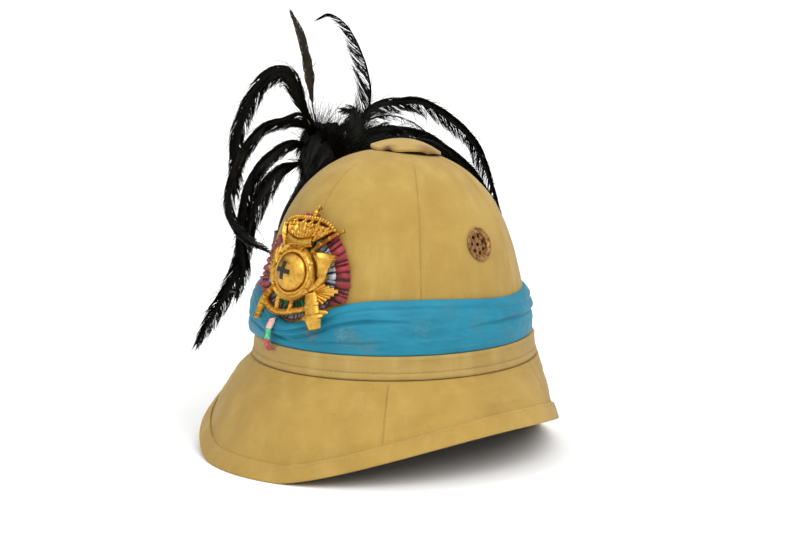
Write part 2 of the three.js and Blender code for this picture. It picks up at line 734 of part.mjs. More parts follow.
function makePlume() {
  const root = socketPoint(socket.wall + GAP - socket.height / 2);
  const mouth = socketPoint(socket.height / 2 + 1);
  const axis = mouth.clone().sub(root).normalize();
  const neck = socket.radius - socket.wall - GAP * 2;
  const path = new THREE.CubicBezierCurve3(mouth, mouth.clone().addScaledVector(axis, plume.rise / 2),
    plume.spread.clone().addScaledVector(axis, -plume.rise / 3), plume.spread);
  const ringAt = (centre, along, radius) => {
    const side = new THREE.Vector3(1, 0, 0).cross(along).normalize();
    const other = along.clone().cross(side);
    const ring = [];
    for (let i = 0; i < plume.stemSides; i += 1) {
      const angle = (i / plume.stemSides) * 2 * Math.PI;
      const point = centre.clone().addScaledVector(side, radius * Math.cos(angle));
      ring.push(point.addScaledVector(other, radius * Math.sin(angle)));
    }
    return ring;
  };
  const stemSteps = [[0, neck], [0.35, plume.neckRadius], [0.7, plume.headRadius], [0.92, plume.headRadius],
    [1, plume.headRadius / 2]];
  const stem = [ringAt(root, axis, neck), ...stemSteps.map(([share, radius]) => (
    ringAt(path.getPointAt(share), path.getTangentAt(share), radius)))];
  const start = path.getPointAt(0.85);
  const strips = Object.values(FEATHERS).map((rows) => {
    const points = rows.map(([out, rear, above]) => new THREE.Vector3(-out, rear, crown.foot + above));
    return featherStrip([start.clone(), ...points], plume.vane);
  });
  for (let i = 0; i < plume.hiddenFeathers; i += 1) {
    const share = i / (plume.hiddenFeathers - 1);
    const heading = radians(150 + 100 * share);
    const away = new THREE.Vector3(Math.cos(heading), -Math.sin(heading), 0);
    const length = plume.hiddenReach * (0.8 + 0.25 * Math.sin(share * Math.PI * 3));
    const place = (reach, climb) => start.clone().addScaledVector(away, reach * length)
      .add(new THREE.Vector3(0, 0, climb));
    strips.push(featherStrip([start.clone(), place(0.35, plume.hiddenClimb * 0.8), place(0.7, plume.hiddenClimb * 0.6),
      place(0.95, -plume.hiddenDroop * 0.25), place(1, -plume.hiddenDroop)], plume.vane));
  }
  return join([bodyThroughRings(stem, false), ...strips]);
}

// Assembly

const material = (color, roughness, metalness = 0) => new THREE.MeshStandardMaterial({
  color, roughness, metalness,
});

const khakiCloth = material(0xc0a056, 0.85);
const bandCloth = material(0xc0a360, 0.85);
const silk = material(0x3392a8, 0.45);
const redRibbon = material(0xb03a44, 0.6);
const paleRibbon = material(0xc3c4c8, 0.6);
const greenRibbon = material(0x1f7a4c, 0.6);
const gilt = material(0xe5be4d, 0.3, 1);
const agedBrass = material(0x6b4a22, 0.5, 0.9);
const feather = material(0x0a0a0c, 0.5);
const blackLeather = material(0x1c1814, 0.6);

const helmet = new THREE.Group();

function addPiece(name, geometry, look, matrix) {
  const mesh = new THREE.Mesh(geometry, look);
  mesh.name = name;
  if (matrix) matrix.decompose(mesh.position, mesh.quaternion, mesh.scale);
  helmet.add(mesh);
}

addPiece('crown', makeCrown(), khakiCloth);
addPiece('brim', makeBrim(), khakiCloth);
addPiece('brim_binding', makeBinding(), khakiCloth);
addPiece('hatband', makeHatband(), bandCloth);
addPiece('sash', makeSash(), silk);
addPiece('cockade_outer', makeCockadeRing(cockade.paleRadius + GAP, cockade.radius, cockade.pleats, 0), redRibbon);
addPiece('cockade_middle', makeCockadeRing(cockade.greenRadius + GAP, cockade.paleRadius, cockade.pleats, 1), paleRibbon);
addPiece('cockade_centre', makeCockadeRing(cockade.hole, cockade.greenRadius, cockade.greenPleats, 2), greenRibbon);
addPiece('badge', makeBadge(), gilt);
addPiece('ribbon_loop', makeLoop(), redRibbon);
addPiece('ventilator_cap', makeVentilatorCap(), khakiCloth, capPlace);

for (const [name, side] of [['side_vent_left', 1], ['side_vent_right', -1]]) {
  addPiece(name, makeSideVent(), agedBrass, crownFrame(side * radians(sideVent.turn), sideVent.rise, GAP));
}
addPiece('plume_socket', makeSocket(), blackLeather);
addPiece('plume', makePlume(), feather);

// The origin is the middle of the footprint, on the surface that the rim rests on
const box = new THREE.Box3().setFromObject(helmet);
helmet.position.set(-(box.min.x + box.max.x) / 2, -(box.min.y + box.max.y) / 2, -box.min.z);

export default helmet;
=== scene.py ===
"""The looks of a cloth-covered pith helmet with a silk sash, a cockade, a gilt badge and a plume.

Lengths are millimetres in the helmet's own frame, with its axis at x = y = 0, until a mesh is built:
that turns them into metres in the shared frame. The front is -Y and the wearer's left is +X.
"""

import math

import bmesh
import bpy
import numpy as np
from mathutils import Matrix, Vector


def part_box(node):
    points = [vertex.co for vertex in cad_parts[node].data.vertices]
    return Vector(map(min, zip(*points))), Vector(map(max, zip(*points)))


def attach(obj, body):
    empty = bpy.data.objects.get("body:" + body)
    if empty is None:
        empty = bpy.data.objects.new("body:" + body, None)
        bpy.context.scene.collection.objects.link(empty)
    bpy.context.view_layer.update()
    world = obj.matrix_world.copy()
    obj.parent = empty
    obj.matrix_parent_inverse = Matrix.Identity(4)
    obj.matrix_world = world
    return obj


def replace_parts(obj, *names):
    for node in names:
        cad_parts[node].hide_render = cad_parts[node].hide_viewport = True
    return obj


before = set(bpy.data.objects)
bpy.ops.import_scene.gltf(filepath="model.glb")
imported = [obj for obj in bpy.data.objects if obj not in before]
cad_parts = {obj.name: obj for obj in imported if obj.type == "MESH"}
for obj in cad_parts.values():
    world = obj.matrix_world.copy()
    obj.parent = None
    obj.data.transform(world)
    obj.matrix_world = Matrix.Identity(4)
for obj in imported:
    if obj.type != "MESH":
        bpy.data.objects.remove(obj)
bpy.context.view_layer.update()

MM = 0.001
TAU = 2 * math.pi
GAP = 0.3
BODY = "root"

crown_low, crown_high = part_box("crown")
HAT = np.array([(crown_low.x + crown_high.x) / 2, (crown_low.y + crown_high.y) / 2, 0.0]) / MM

# Sizes shared with the solid model

CROWN = dict(width=200, length=230, height=160, wall=6, lean=7, foot=72, shoulder=4.06, dome=2.25, taper=0.2)
BRIM = dict(width=272, front=166, rear=142, rear_taper=0.25, wall=5, lip=5, swell=3, rear_swell=0,
            side_rise=35, rest_half=16, rise_curve=1.3)
BINDING = dict(flap=12, thick=1.5)
HATBAND = dict(height=17.5, thick=3.6, hem=5, swell=0.6)
SASH = dict(top=58.5, rear_top=53, rear_start=60, rear_end=115, dip=22, dip_angle=22, edge=2, belly=2.6,
            bulge=8, bulge_turn=-53, bulge_width=20)
SASH_FOOT = HATBAND["height"] + GAP
COCKADE = dict(radius=44, turn=1.7, rise=71, pale=33, green=24, hole=6, tuck=1.5)
BADGE = dict(turn=1.7, rise=73, tilt=6, back=5.4, plate=3, boss=14, boss_height=10.5, coil=17.8, tube=2.6)
CAP = dict(radius=27, dome=10.7, rim=-3.1, cloth=2.6, collar=12, wall=2.6, depth=8, back=13, tilt=6)
VENT = dict(turn=94, rise=95, flange=12.7, lip=1.2, tube=10.4, recess=1, hole=1.6, holes=7, circle=6.6)
SOCKET = dict(turn=-72, height=24, radius=7.5, wall=1.4, stand_off=10.2, foot=3.5, foot_radius=9)
SOCKET_RISE = SASH["top"] + 1.5 + SOCKET["height"] / 2
SPREAD = np.array([-84.0, -2.0, CROWN["foot"] + 146])


# Mesh building


def wrap_length(points, axis, closed):
    """Running length along one axis of a grid, with one more step where the grid closes."""
    if closed:
        points = np.concatenate([points, np.take(points, [0], axis=axis)], axis=axis)
    lengths = np.linalg.norm(np.diff(points, axis=axis), axis=2)
    start = np.zeros_like(np.take(lengths, [0], axis=axis))
    return np.concatenate([start, np.cumsum(lengths, axis=axis)], axis=axis)


class Shape:
    """Points and faces gathered for one mesh, each with a place on the cloth in metres."""

    def __init__(self):
        self.points, self.loops, self.sizes, self.places, self.slots = [], [], [], [], []
        self.count = 0

    def faces(self, index, places, slot):
        self.loops.append(index.ravel())
        self.sizes.append(np.full(len(index), index.shape[1]))
        self.places.append(places.reshape(-1, 2))
        self.slots.append(np.full(len(index), slot) if np.isscalar(slot) else slot)

    def grid(self, points, close_rows=False, close_columns=False, caps=False, slot=0, places=None):
        """A surface through rows of points. caps fills the first and last row.

        places, if given, has a row and a column more where the grid closes.
        """
        rows, columns = points.shape[:2]
        down = np.arange(rows if close_rows else rows - 1)
        across = np.arange(columns if close_columns else columns - 1)
        i, j = (a.ravel() for a in np.meshgrid(down, across, indexing="ij"))
        corners = [(i, j), (i + 1, j), (i + 1, j + 1), (i, j + 1)]
        index = np.stack([(a % rows) * columns + b % columns for a, b in corners], axis=1) + self.count
        if places is None:
            along = wrap_length(points, 0, close_rows).mean(axis=1)
            over = wrap_length(points, 1, close_columns).mean(axis=0)
            spots = np.stack([np.stack([along[a], over[b]], axis=1) for a, b in corners], axis=1)
        else:
            spots = np.stack([places[np.minimum(a, places.shape[0] - 1), np.minimum(b, places.shape[1] - 1)]
                              for a, b in corners], axis=1)
        face_slot = slot if np.isscalar(slot) else np.asarray(slot)[j]
        self.faces(index, spots * MM, face_slot)
        if caps:
            for row in (0, rows - 1):
                ring = (row * columns + np.arange(columns))[None, :] + self.count
                self.faces(ring, np.zeros((1, columns, 2)), slot if np.isscalar(slot) else 0)
        self.points.append(points.reshape(-1, 3))
        self.count += rows * columns
        return self

    def tubes(self, points, slot=0):
        """Many like tubes. points is (tubes, rings, sides, 3), and both ends are closed."""
        tubes, rings, sides = points.shape[:3]
        counts = np.arange(tubes), np.arange(rings - 1), np.arange(sides)
        t, i, j = (a.ravel() for a in np.meshgrid(*counts, indexing="ij"))
        near = (t * rings + i) * sides + self.count
        far, beside = near + sides, (j + 1) % sides
        index = np.stack([near + j, far + j, far + beside, near + beside], axis=1)
        spots = np.stack([np.stack([t * 0.37 % 1, a / rings], axis=1) for a in (i, i + 1, i + 1, i)], axis=1)
        self.faces(index, spots, slot)
        for ring in (0, rings - 1):
            first = (np.arange(tubes) * rings + ring) * sides + self.count
            ends = first[:, None] + np.arange(sides)[None, :]
            self.faces(ends, np.zeros((tubes, sides, 2)), slot)
        self.points.append(points.reshape(-1, 3))
        self.count += tubes * rings * sides
        return self

    def build(self, name, materials, sharp=50, turn_out=True):
        """The mesh as an object of the scene, moved to the shared frame and shaded smooth."""
        points = (np.concatenate(self.points) + HAT) * MM
        sizes = np.concatenate(self.sizes)
        loops = np.concatenate(self.loops)
        mesh = bpy.data.meshes.new(name)
        mesh.vertices.add(len(points))
        mesh.vertices.foreach_set("co", points.astype(np.float32).ravel())
        mesh.loops.add(len(loops))
        mesh.loops.foreach_set("vertex_index", loops.astype(np.int32))
        mesh.polygons.add(len(sizes))
        starts = np.cumsum(sizes) - sizes
        mesh.polygons.foreach_set("loop_start", starts.astype(np.int32))
        mesh.polygons.foreach_set("material_index", np.concatenate(self.slots).astype(np.int32))
        mesh.update(calc_edges=True)
        layer = mesh.uv_layers.new(name="cloth")
        layer.data.foreach_set("uv", np.concatenate(self.places).astype(np.float32).ravel())
        if turn_out:
            work = bmesh.new()
            work.from_mesh(mesh)
            bmesh.ops.recalc_face_normals(work, faces=work.faces)
            work.to_mesh(mesh)
            work.free()
        mesh.polygons.foreach_set("use_smooth", np.ones(len(mesh.polygons), dtype=bool))
        mesh.set_sharp_from_angle(angle=math.radians(sharp))
        for material in materials:
            mesh.materials.append(material)
        piece = bpy.data.objects.new(name, mesh)
        bpy.context.scene.collection.objects.link(piece)
        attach(piece, BODY)
        return piece


def drill(piece, cutters):
    """Cuts closed shapes out of a piece and leaves a plain mesh."""
    for cutter in cutters:
        cut = piece.modifiers.new("cut", "BOOLEAN")
        cut.operation = "DIFFERENCE"
        cut.solver = "MANIFOLD"
        cut.object = cutter
    graph = bpy.context.evaluated_depsgraph_get()
    graph.update()
    cut_piece = piece.evaluated_get(graph)
    made = bpy.data.meshes.new_from_object(cut_piece, preserve_all_data_layers=True, depsgraph=graph)
    piece.modifiers.clear()
    piece.data = made
    for cutter in cutters:
        bpy.data.objects.remove(cutter)
    return piece


def unit(vectors):
    return vectors / np.maximum(np.linalg.norm(vectors, axis=-1, keepdims=True), 1e-9)


def angle_apart(turn, other):
    return np.angle(np.exp(1j * (turn - other)))


def run_length(line):
    """Running length along a line of points, from 0 at its start."""
    return np.concatenate([[0], np.cumsum(np.linalg.norm(np.diff(line, axis=0), axis=1))])


def sample(wanted, length, line):
    """Points of a line at wanted lengths along it."""
    return np.stack([np.interp(wanted, length, column) for column in line.T], axis=-1)


def smooth_path(points, steps):
    """Evenly spaced points on a smooth curve through the given ones."""
    points = np.asarray(points, dtype=float)
    control = np.vstack([2 * points[0] - points[1], points, 2 * points[-1] - points[-2]])
    share = np.linspace(0, 1, 24, endpoint=False)[:, None]
    pieces = []
    for i in range(len(points) - 1):
        a, b, c, d = control[i:i + 4]
        pieces.append(0.5 * (2 * b + (c - a) * share + (2 * a - 5 * b + 4 * c - d) * share**2
                             + (3 * b - a - 3 * c + d) * share**3))
    fine = np.vstack([*pieces, points[-1:]])
    length = run_length(fine)
    return sample(np.linspace(0, length[-1], steps), length, fine)


def tangents(path):
    return unit(np.gradient(path, axis=0))


def ripple(seed, scale_x, scale_y, x, y, waves=7):
    """A smooth uneven surface between about -1 and 1, the same for the same seed."""
    dice = np.random.default_rng(seed)
    total = 0
    for _ in range(waves):
        angle = dice.uniform(0, TAU)
        pitch = dice.uniform(0.6, 1.6)
        total = total + np.sin(TAU * pitch * (x / scale_x * math.cos(angle) + y / scale_y * math.sin(angle))
                               + dice.uniform(0, TAU))
    return total / math.sqrt(waves) / 1.4


def bell(distance, width):
    return np.exp(-((distance / width) ** 2))


# The crown's surface


def crown_size(share):
    return (1 - share ** CROWN["shoulder"]) ** (1 / CROWN["dome"]) * (1 - CROWN["taper"] * share)


def crown_surface(turn, rise):
    share = np.clip(np.asarray(rise, dtype=float) / CROWN["height"], 0, 0.9999)
    size = crown_size(share)
    x = CROWN["width"] / 2 * size * np.sin(turn)
    y = -CROWN["lean"] * share - CROWN["length"] / 2 * size * np.cos(turn)
    return np.stack(np.broadcast_arrays(x, y, CROWN["foot"] + np.asarray(rise, dtype=float)), axis=-1)


def crown_normal(turn, rise):
    step = 1e-3
    low = np.clip(rise, step, CROWN["height"] * 0.999)
    across = crown_surface(turn + step, low) - crown_surface(turn - step, low)
    up = crown_surface(turn, low + step) - crown_surface(turn, low - step)
    return unit(np.cross(across, up))


def crown_point(turn, rise, out):
    return crown_surface(turn, rise) + crown_normal(turn, rise) * np.asarray(out, dtype=float)[..., None]


def crown_frame(turn, rise, out):
    """Across to the wearer's left, up the surface, straight out, and the place."""
    outward = crown_normal(turn, rise)
    across = unit(np.cross([0, 0, 1], outward))
    return across, np.cross(outward, across), outward, crown_point(turn, rise, out)


def front_point(centre, left, above, out):
    reach = CROWN["width"] / 2 * crown_size(centre["rise"] / CROWN["height"])
    return crown_point(math.radians(centre["turn"]) + left / reach, centre["rise"] + above, out)


# Materials


def srgb(red, green, blue):
    """A colour as seen in the photograph, 0 to 255, as the linear values that nodes take."""
    def linear(value):
        share = value / 255
        return share / 12.92 if share <= 0.04045 else ((share + 0.055) / 1.055) ** 2.4
    return (linear(red), linear(green), linear(blue), 1.0)


class Finish:
    """A material's node tree, with short calls for the nodes that the finishes share."""

    def __init__(self, name, **sockets):
        self.material = bpy.data.materials.new(name)
        self.material.use_nodes = True
        self.tree = self.material.node_tree
        self.surface = self.tree.nodes["Principled BSDF"]
        for socket, value in sockets.items():
            self.surface.inputs[socket.replace("_", " ")].default_value = value

    def node(self, kind, output, inputs, **settings):
        node = self.tree.nodes.new(kind)
        for key, value in settings.items():
            setattr(node, key, value)
        for socket, value in inputs.items():
            if isinstance(value, bpy.types.NodeSocket):
                self.tree.links.new(value, node.inputs[socket])
            else:
                node.inputs[socket].default_value = value
        return node.outputs[output]

    def cloth_place(self):
        return self.node("ShaderNodeUVMap", "UV", {}, uv_map="cloth")

    def place(self):
        return self.node("ShaderNodeTexCoord", "Object", {})

    def stretch(self, vector, scale):
        return self.node("ShaderNodeMapping", "Vector", {"Vector": vector, "Scale": scale})

    def noise(self, vector, scale, detail=4.0, roughness=0.55):
        return self.node("ShaderNodeTexNoise", "Fac",
                         {"Vector": vector, "Scale": scale, "Detail": detail, "Roughness": roughness})

    def math(self, operation, a, b=0.0, clamp=False):
        return self.node("ShaderNodeMath", "Value", {0: a, 1: b}, operation=operation, use_clamp=clamp)

    def axis(self, vector, name):
        return self.node("ShaderNodeSeparateXYZ", name, {"Vector": vector})

    def band(self, value, low, high):
        """0 below low and 1 above high, smooth between."""
        return self.node("ShaderNodeMapRange", "Result", {"Value": value, "From Min": low, "From Max": high},
                         interpolation_type="SMOOTHSTEP")

    def distance(self, centre):
        """Metres from a point of the shared frame."""
        inputs = {0: self.place(), 1: centre}
        return self.node("ShaderNodeVectorMath", "Value", inputs, operation="DISTANCE")

    def spot(self, centre, radius, reach=1.6):
        """1 at a point of the shared frame, falling to 0 at reach times the radius."""
        return self.math("SUBTRACT", 1.0, self.band(self.distance(centre), radius * 0.3, radius * reach))

    def mix(self, share, a, b, kind="MIX"):
        node = self.tree.nodes.new("ShaderNodeMix")
        node.data_type = "RGBA"
        node.blend_type = kind
        for socket, value in ((0, share), (6, a), (7, b)):
            if isinstance(value, bpy.types.NodeSocket):
                self.tree.links.new(value, node.inputs[socket])
            else:
                node.inputs[socket].default_value = value
        return node.outputs[2]

    def tinted(self, colour, share, strength, tint):
        """A colour turned towards a tint by a share of a strength."""
        return self.mix(self.math("MULTIPLY", share, strength), colour, tint)

    def wave(self, value, pitch):
        """A sine along a length in metres, from -1 to 1."""
        return self.math("SINE", self.math("MULTIPLY", value, TAU / pitch))

    def colour(self, value):
        self.tree.links.new(value, self.surface.inputs["Base Color"])

    def roughness(self, value):
        self.tree.links.new(value, self.surface.inputs["Roughness"])

    def bump(self, height, distance, strength=1.0, under=None):
        inputs = {"Height": height, "Distance": distance, "Strength": strength}
        if under is not None:
            inputs["Normal"] = under
        return self.node("ShaderNodeBump", "Normal", inputs)

    def normal(self, value):
        self.tree.links.new(value, self.surface.inputs["Normal"])


WEAVE_PITCH = 0.00085
KHAKI = srgb(178, 148, 76)
KHAKI_PALE = srgb(190, 163, 96)
KHAKI_DEEP = srgb(155, 122, 56)
STAIN = srgb(122, 82, 36)


def cotton(name, base, pale, deep, twill=False, spots=(), dirt=0.25, painted_cap_shadow=None):
    """Aged cotton: a fine weave with slubs, cloudy fading and small stains, and, when asked, a painted
    shadow round the cap's middle.
    """
    finish = Finish(name, Roughness=0.88, Sheen_Weight=0.12, Sheen_Roughness=0.5)
    finish.surface.inputs["Specular IOR Level"].default_value = 0.2
    spread = finish.cloth_place()
    place = finish.place()
    u, v = finish.axis(spread, "X"), finish.axis(spread, "Y")
    cloud = finish.band(finish.noise(place, 14.0, 5.0, 0.6), 0.35, 0.68)
    colour = finish.mix(finish.math("ADD", finish.math("MULTIPLY", cloud, 0.6), 0.4), deep, base)
    fade = finish.band(finish.noise(finish.stretch(place, (1.0, 1.0, 0.25)), 60.0, 3.0), 0.45, 0.75)
    colour = finish.tinted(colour, fade, 0.4, pale)
    warp = finish.noise(finish.stretch(spread, (1400.0, 60.0, 1.0)), 1.0, 2.0)
    weft = finish.noise(finish.stretch(spread, (60.0, 1400.0, 1.0)), 1.0, 2.0)
    slub = finish.math("ADD", warp, weft)
    colour = finish.tinted(colour, finish.band(slub, 0.75, 1.3), 0.1, srgb(120, 94, 44))
    specks = finish.band(finish.noise(place, 210.0, 2.0), 0.7, 0.78)
    colour = finish.tinted(colour, specks, dirt, STAIN)
    for centre, radius, tint, depth in spots:
        colour = finish.tinted(colour, finish.spot(centre, radius), depth, tint)
    # Painted shadow: near-black cloth inside a ring round the cap's middle, where the gap under the cap's
    # rim lies in shade
    if painted_cap_shadow:
        centre, inner, outer = painted_cap_shadow
        colour = finish.mix(finish.band(finish.distance(centre), inner, outer), srgb(26, 18, 10), colour)
    finish.colour(colour)
    if twill:
        diagonal = finish.math("ADD", u, finish.math("MULTIPLY", v, 1.1))
        weave = finish.wave(diagonal, WEAVE_PITCH * 1.5)
    else:
        weave = finish.math("MULTIPLY", finish.wave(u, WEAVE_PITCH), finish.wave(v, WEAVE_PITCH))
    threads = finish.bump(weave, 0.00006, 0.6)
    finish.normal(finish.bump(slub, 0.00016, 0.35, threads))
    return finish


def dark_cloth():
    """The blue-black cloth that lines the brim and the inside."""
    finish = Finish("dark_lining", Roughness=0.92, Sheen_Weight=0.15)
    finish.surface.inputs["Specular IOR Level"].default_value = 0.15
    place = finish.place()
    spread = finish.cloth_place()
    cloud = finish.band(finish.noise(place, 30.0), 0.35, 0.7)
    finish.colour(finish.mix(cloud, srgb(14, 17, 24), srgb(26, 31, 40)))
    weave = finish.math("MULTIPLY", finish.wave(finish.axis(spread, "X"), WEAVE_PITCH * 1.4),
                        finish.wave(finish.axis(spread, "Y"), WEAVE_PITCH * 1.4))
    finish.normal(finish.bump(weave, 0.00012, 0.8))
    return finish


def silk_cloth():
    """Light blue silk with a fine rib, cloudy tone, pale streaks, soil and old stains."""
    finish = Finish("sash_silk", Roughness=0.55, Sheen_Weight=0.06, Sheen_Roughness=0.35)
    finish.surface.inputs["Specular IOR Level"].default_value = 0.3
    spread = finish.cloth_place()
    place = finish.place()
    cloud = finish.band(finish.noise(finish.stretch(place, (1.0, 1.0, 2.2)), 16.0, 4.0), 0.3, 0.7)
    colour = finish.mix(cloud, srgb(14, 114, 140), srgb(26, 134, 160))
    drag = finish.noise(finish.stretch(spread, (18.0, 300.0, 1.0)), 1.0, 3.0)
    colour = finish.tinted(colour, finish.band(drag, 0.52, 0.75), 0.3, srgb(46, 144, 168))
    soil = finish.band(finish.noise(place, 34.0, 6.0, 0.7), 0.6, 0.74)
    colour = finish.tinted(colour, soil, 0.14, srgb(80, 122, 122))
    broken = finish.band(finish.noise(place, 420.0, 6.0, 0.7), 0.4, 0.62)
    for turn, rise, radius, tint, depth in SASH_STAINS:
        spot = finish.spot(tuple(stain_place(turn, rise)), radius * MM)
        colour = finish.tinted(colour, finish.math("MULTIPLY", spot, broken), depth, tint)
    finish.colour(colour)
    rib = finish.wave(finish.axis(spread, "Y"), 0.0007)
    fuzz = finish.noise(finish.stretch(spread, (120.0, 2400.0, 1.0)), 1.0, 2.0)
    finish.normal(finish.bump(fuzz, 0.00012, 0.5, finish.bump(rib, 0.00004, 0.6)))
    return finish


def ribbon(name, deep, main, shine, roughness=0.5):
    """Ribbed ribbon with painted shade in its valleys and painted highlights on its crests, by the fold
    height that the second cloth length holds.
    """
    finish = Finish(name, Roughness=roughness, Sheen_Weight=0.2, Sheen_Roughness=0.4)
    spread = finish.cloth_place()
    place = finish.place()
    crest = finish.axis(spread, "Y")
    uneven = finish.math("MULTIPLY", finish.noise(place, 300.0, 4.0), 0.0012)
    height = finish.math("ADD", crest, finish.math("SUBTRACT", uneven, 0.0006))
    # Painted shade: the colour falls to the deep one in the valleys of the folds
    colour = finish.mix(finish.band(height, 0.0002, 0.0016), deep, main)
    # Painted highlight: patches on the crests turn towards the shine colour
    patches = finish.band(finish.noise(place, 420.0, 3.0), 0.4, 0.7)
    wear_and_painted_highlight = finish.math("MULTIPLY", finish.band(height, 0.0016, 0.0034), patches)
    finish.colour(finish.tinted(colour, wear_and_painted_highlight, 0.75, shine))
    rib = finish.wave(finish.axis(spread, "X"), 0.0006)
    finish.normal(finish.bump(rib, 0.00008, 0.8))
    return finish


def gilt_metal():
    """Gilt cast brass: bright on top, brown in the hollows, with a fine grain of wear."""
    finish = Finish("gilt_cast", Metallic=1.0, Roughness=0.3)
    place = finish.place()
    spread = finish.cloth_place()
    wear_and_painted_highlight = finish.band(finish.noise(place, 240.0, 6.0, 0.65), 0.35, 0.62)
    colour = finish.mix(wear_and_painted_highlight, srgb(192, 143, 55), srgb(220, 174, 80))
    low = finish.math("SUBTRACT", 1.0, finish.band(finish.axis(spread, "Y"), 0.0004, 0.0022))
    grime = finish.math("MULTIPLY", low, finish.band(finish.noise(place, 520.0, 4.0), 0.3, 0.6))
    finish.colour(finish.tinted(colour, grime, 0.7, srgb(96, 62, 22)))
    inputs = {"Value": finish.noise(place, 700.0, 4.0), "From Min": 0.3, "From Max": 0.7,
              "To Min": 0.28, "To Max": 0.46}
    finish.roughness(finish.node("ShaderNodeMapRange", "Result", inputs))
    finish.normal(finish.bump(finish.noise(place, 900.0, 4.0), 0.00008, 0.35))
    return finish


def aged_brass():
    """Brown old brass with pale flecks where its paint has rubbed off."""
    finish = Finish("aged_brass", Metallic=0.75, Roughness=0.5)
    place = finish.place()
    wear_and_painted_highlight = finish.band(finish.noise(place, 380.0, 6.0, 0.7), 0.38, 0.62)
    colour = finish.mix(wear_and_painted_highlight, srgb(104, 68, 38), srgb(180, 132, 80))
    flecks = finish.band(finish.noise(place, 900.0, 3.0), 0.6, 0.7)
    finish.colour(finish.tinted(colour, flecks, 0.5, srgb(214, 172, 132)))
    finish.normal(finish.bump(wear_and_painted_highlight, 0.0002, 0.7))
    return finish


def black_leather():
    finish = Finish("black_leather", Roughness=0.5, Coat_Weight=0.15)
    place = finish.place()
    grain = finish.noise(place, 900.0, 5.0, 0.6)
    scuffs = finish.band(finish.noise(place, 90.0, 5.0, 0.65), 0.55, 0.75)
    finish.colour(finish.mix(scuffs, srgb(20, 17, 15), srgb(62, 50, 40)))
    finish.normal(finish.bump(grain, 0.0003, 0.7))
    return finish


def feather_black(name, deep, sheen, brown_share):
    """Cock feather, nearly black, with a faint shine and browner patches."""
    finish = Finish(name, Roughness=0.42)
    finish.surface.inputs["Specular IOR Level"].default_value = 0.14
    finish.surface.inputs["Specular Tint"].default_value = srgb(205, 205, 190)
    shade = finish.band(finish.noise(finish.place(), 60.0, 3.0), 0.35, 0.7)
    brown = finish.band(finish.noise(finish.place(), 35.0, 3.0), 0.6, 0.78)
    colour = finish.mix(shade, deep, sheen)
    finish.colour(finish.tinted(colour, brown, brown_share, srgb(46, 38, 28)))
    return finish


def thread(name, colour, shade):
    finish = Finish(name, Roughness=0.7, Sheen_Weight=0.3)
    twist = finish.band(finish.noise(finish.place(), 1500.0, 2.0), 0.35, 0.65)
    finish.colour(finish.mix(twist, shade, colour))
    return finish


def stain_place(turn, rise):
    """A point on the sash's face in the shared frame, in metres."""
    return (crown_point(math.radians(turn), rise, 5.0) + HAT) * MM


# Old marks on the sash: turn in degrees, height above the crown's foot, radius, colour and strength
SASH_STAINS = [
    (14, 32, 7, srgb(116, 110, 82), 0.5),
    (27, 33, 5, srgb(96, 160, 176), 0.4),
    (30, 30, 8, srgb(104, 108, 88), 0.5),
    (38, 24, 7, srgb(100, 104, 86), 0.5),
    (60, 38, 9, srgb(78, 132, 140), 0.35),
    (72, 50, 8, srgb(72, 112, 116), 0.4),
    (84, 40, 9, srgb(70, 114, 118), 0.4),
    (-60, 34, 9, srgb(108, 120, 108), 0.45),
    (150, 36, 10, srgb(108, 118, 104), 0.45),
    (-140, 40, 10, srgb(108, 118, 104), 0.45),
]


# Crown

# Turns of the seams at the crown's foot, in degrees
SEAMS = [5, 59, 114, 180, 240, 300]
# Columns of each panel's mesh, and how far apart the panels lie on the flat cloth
PANEL_COLUMNS = 56
PANEL_APART = 400.0
CROWN_ROWS = 72
# Shares of height of the rows inside
INNER_ROWS = [0.985, 0.95, 0.88, 0.78, 0.66, 0.52, 0.38, 0.24, 0.1, 0.0]
CAP_CENTRE = CAP["back"] - CROWN["lean"]


def seam_turn(foot_turn, share):
    """Where a seam that runs straight to the cap's middle crosses each height."""
    angle = math.radians(foot_turn)
    half_width, half_length = CROWN["width"] / 2, CROWN["length"] / 2
    run = unit(np.array([half_width * math.sin(angle), -half_length * math.cos(angle) - CAP_CENTRE]))
    size = crown_size(share)
    a = -half_width * size * run[1]
    b = -half_length * size * run[0]
    level = (CROWN["lean"] * share + CAP_CENTRE) * run[0]
    middle, half = np.arctan2(a, b), np.arccos(np.clip(level / np.hypot(a, b), -1, 1))
    first, second = angle_apart(middle - half, angle), angle_apart(middle + half, angle)
    return angle + np.where(np.abs(first) < np.abs(second), first, second)


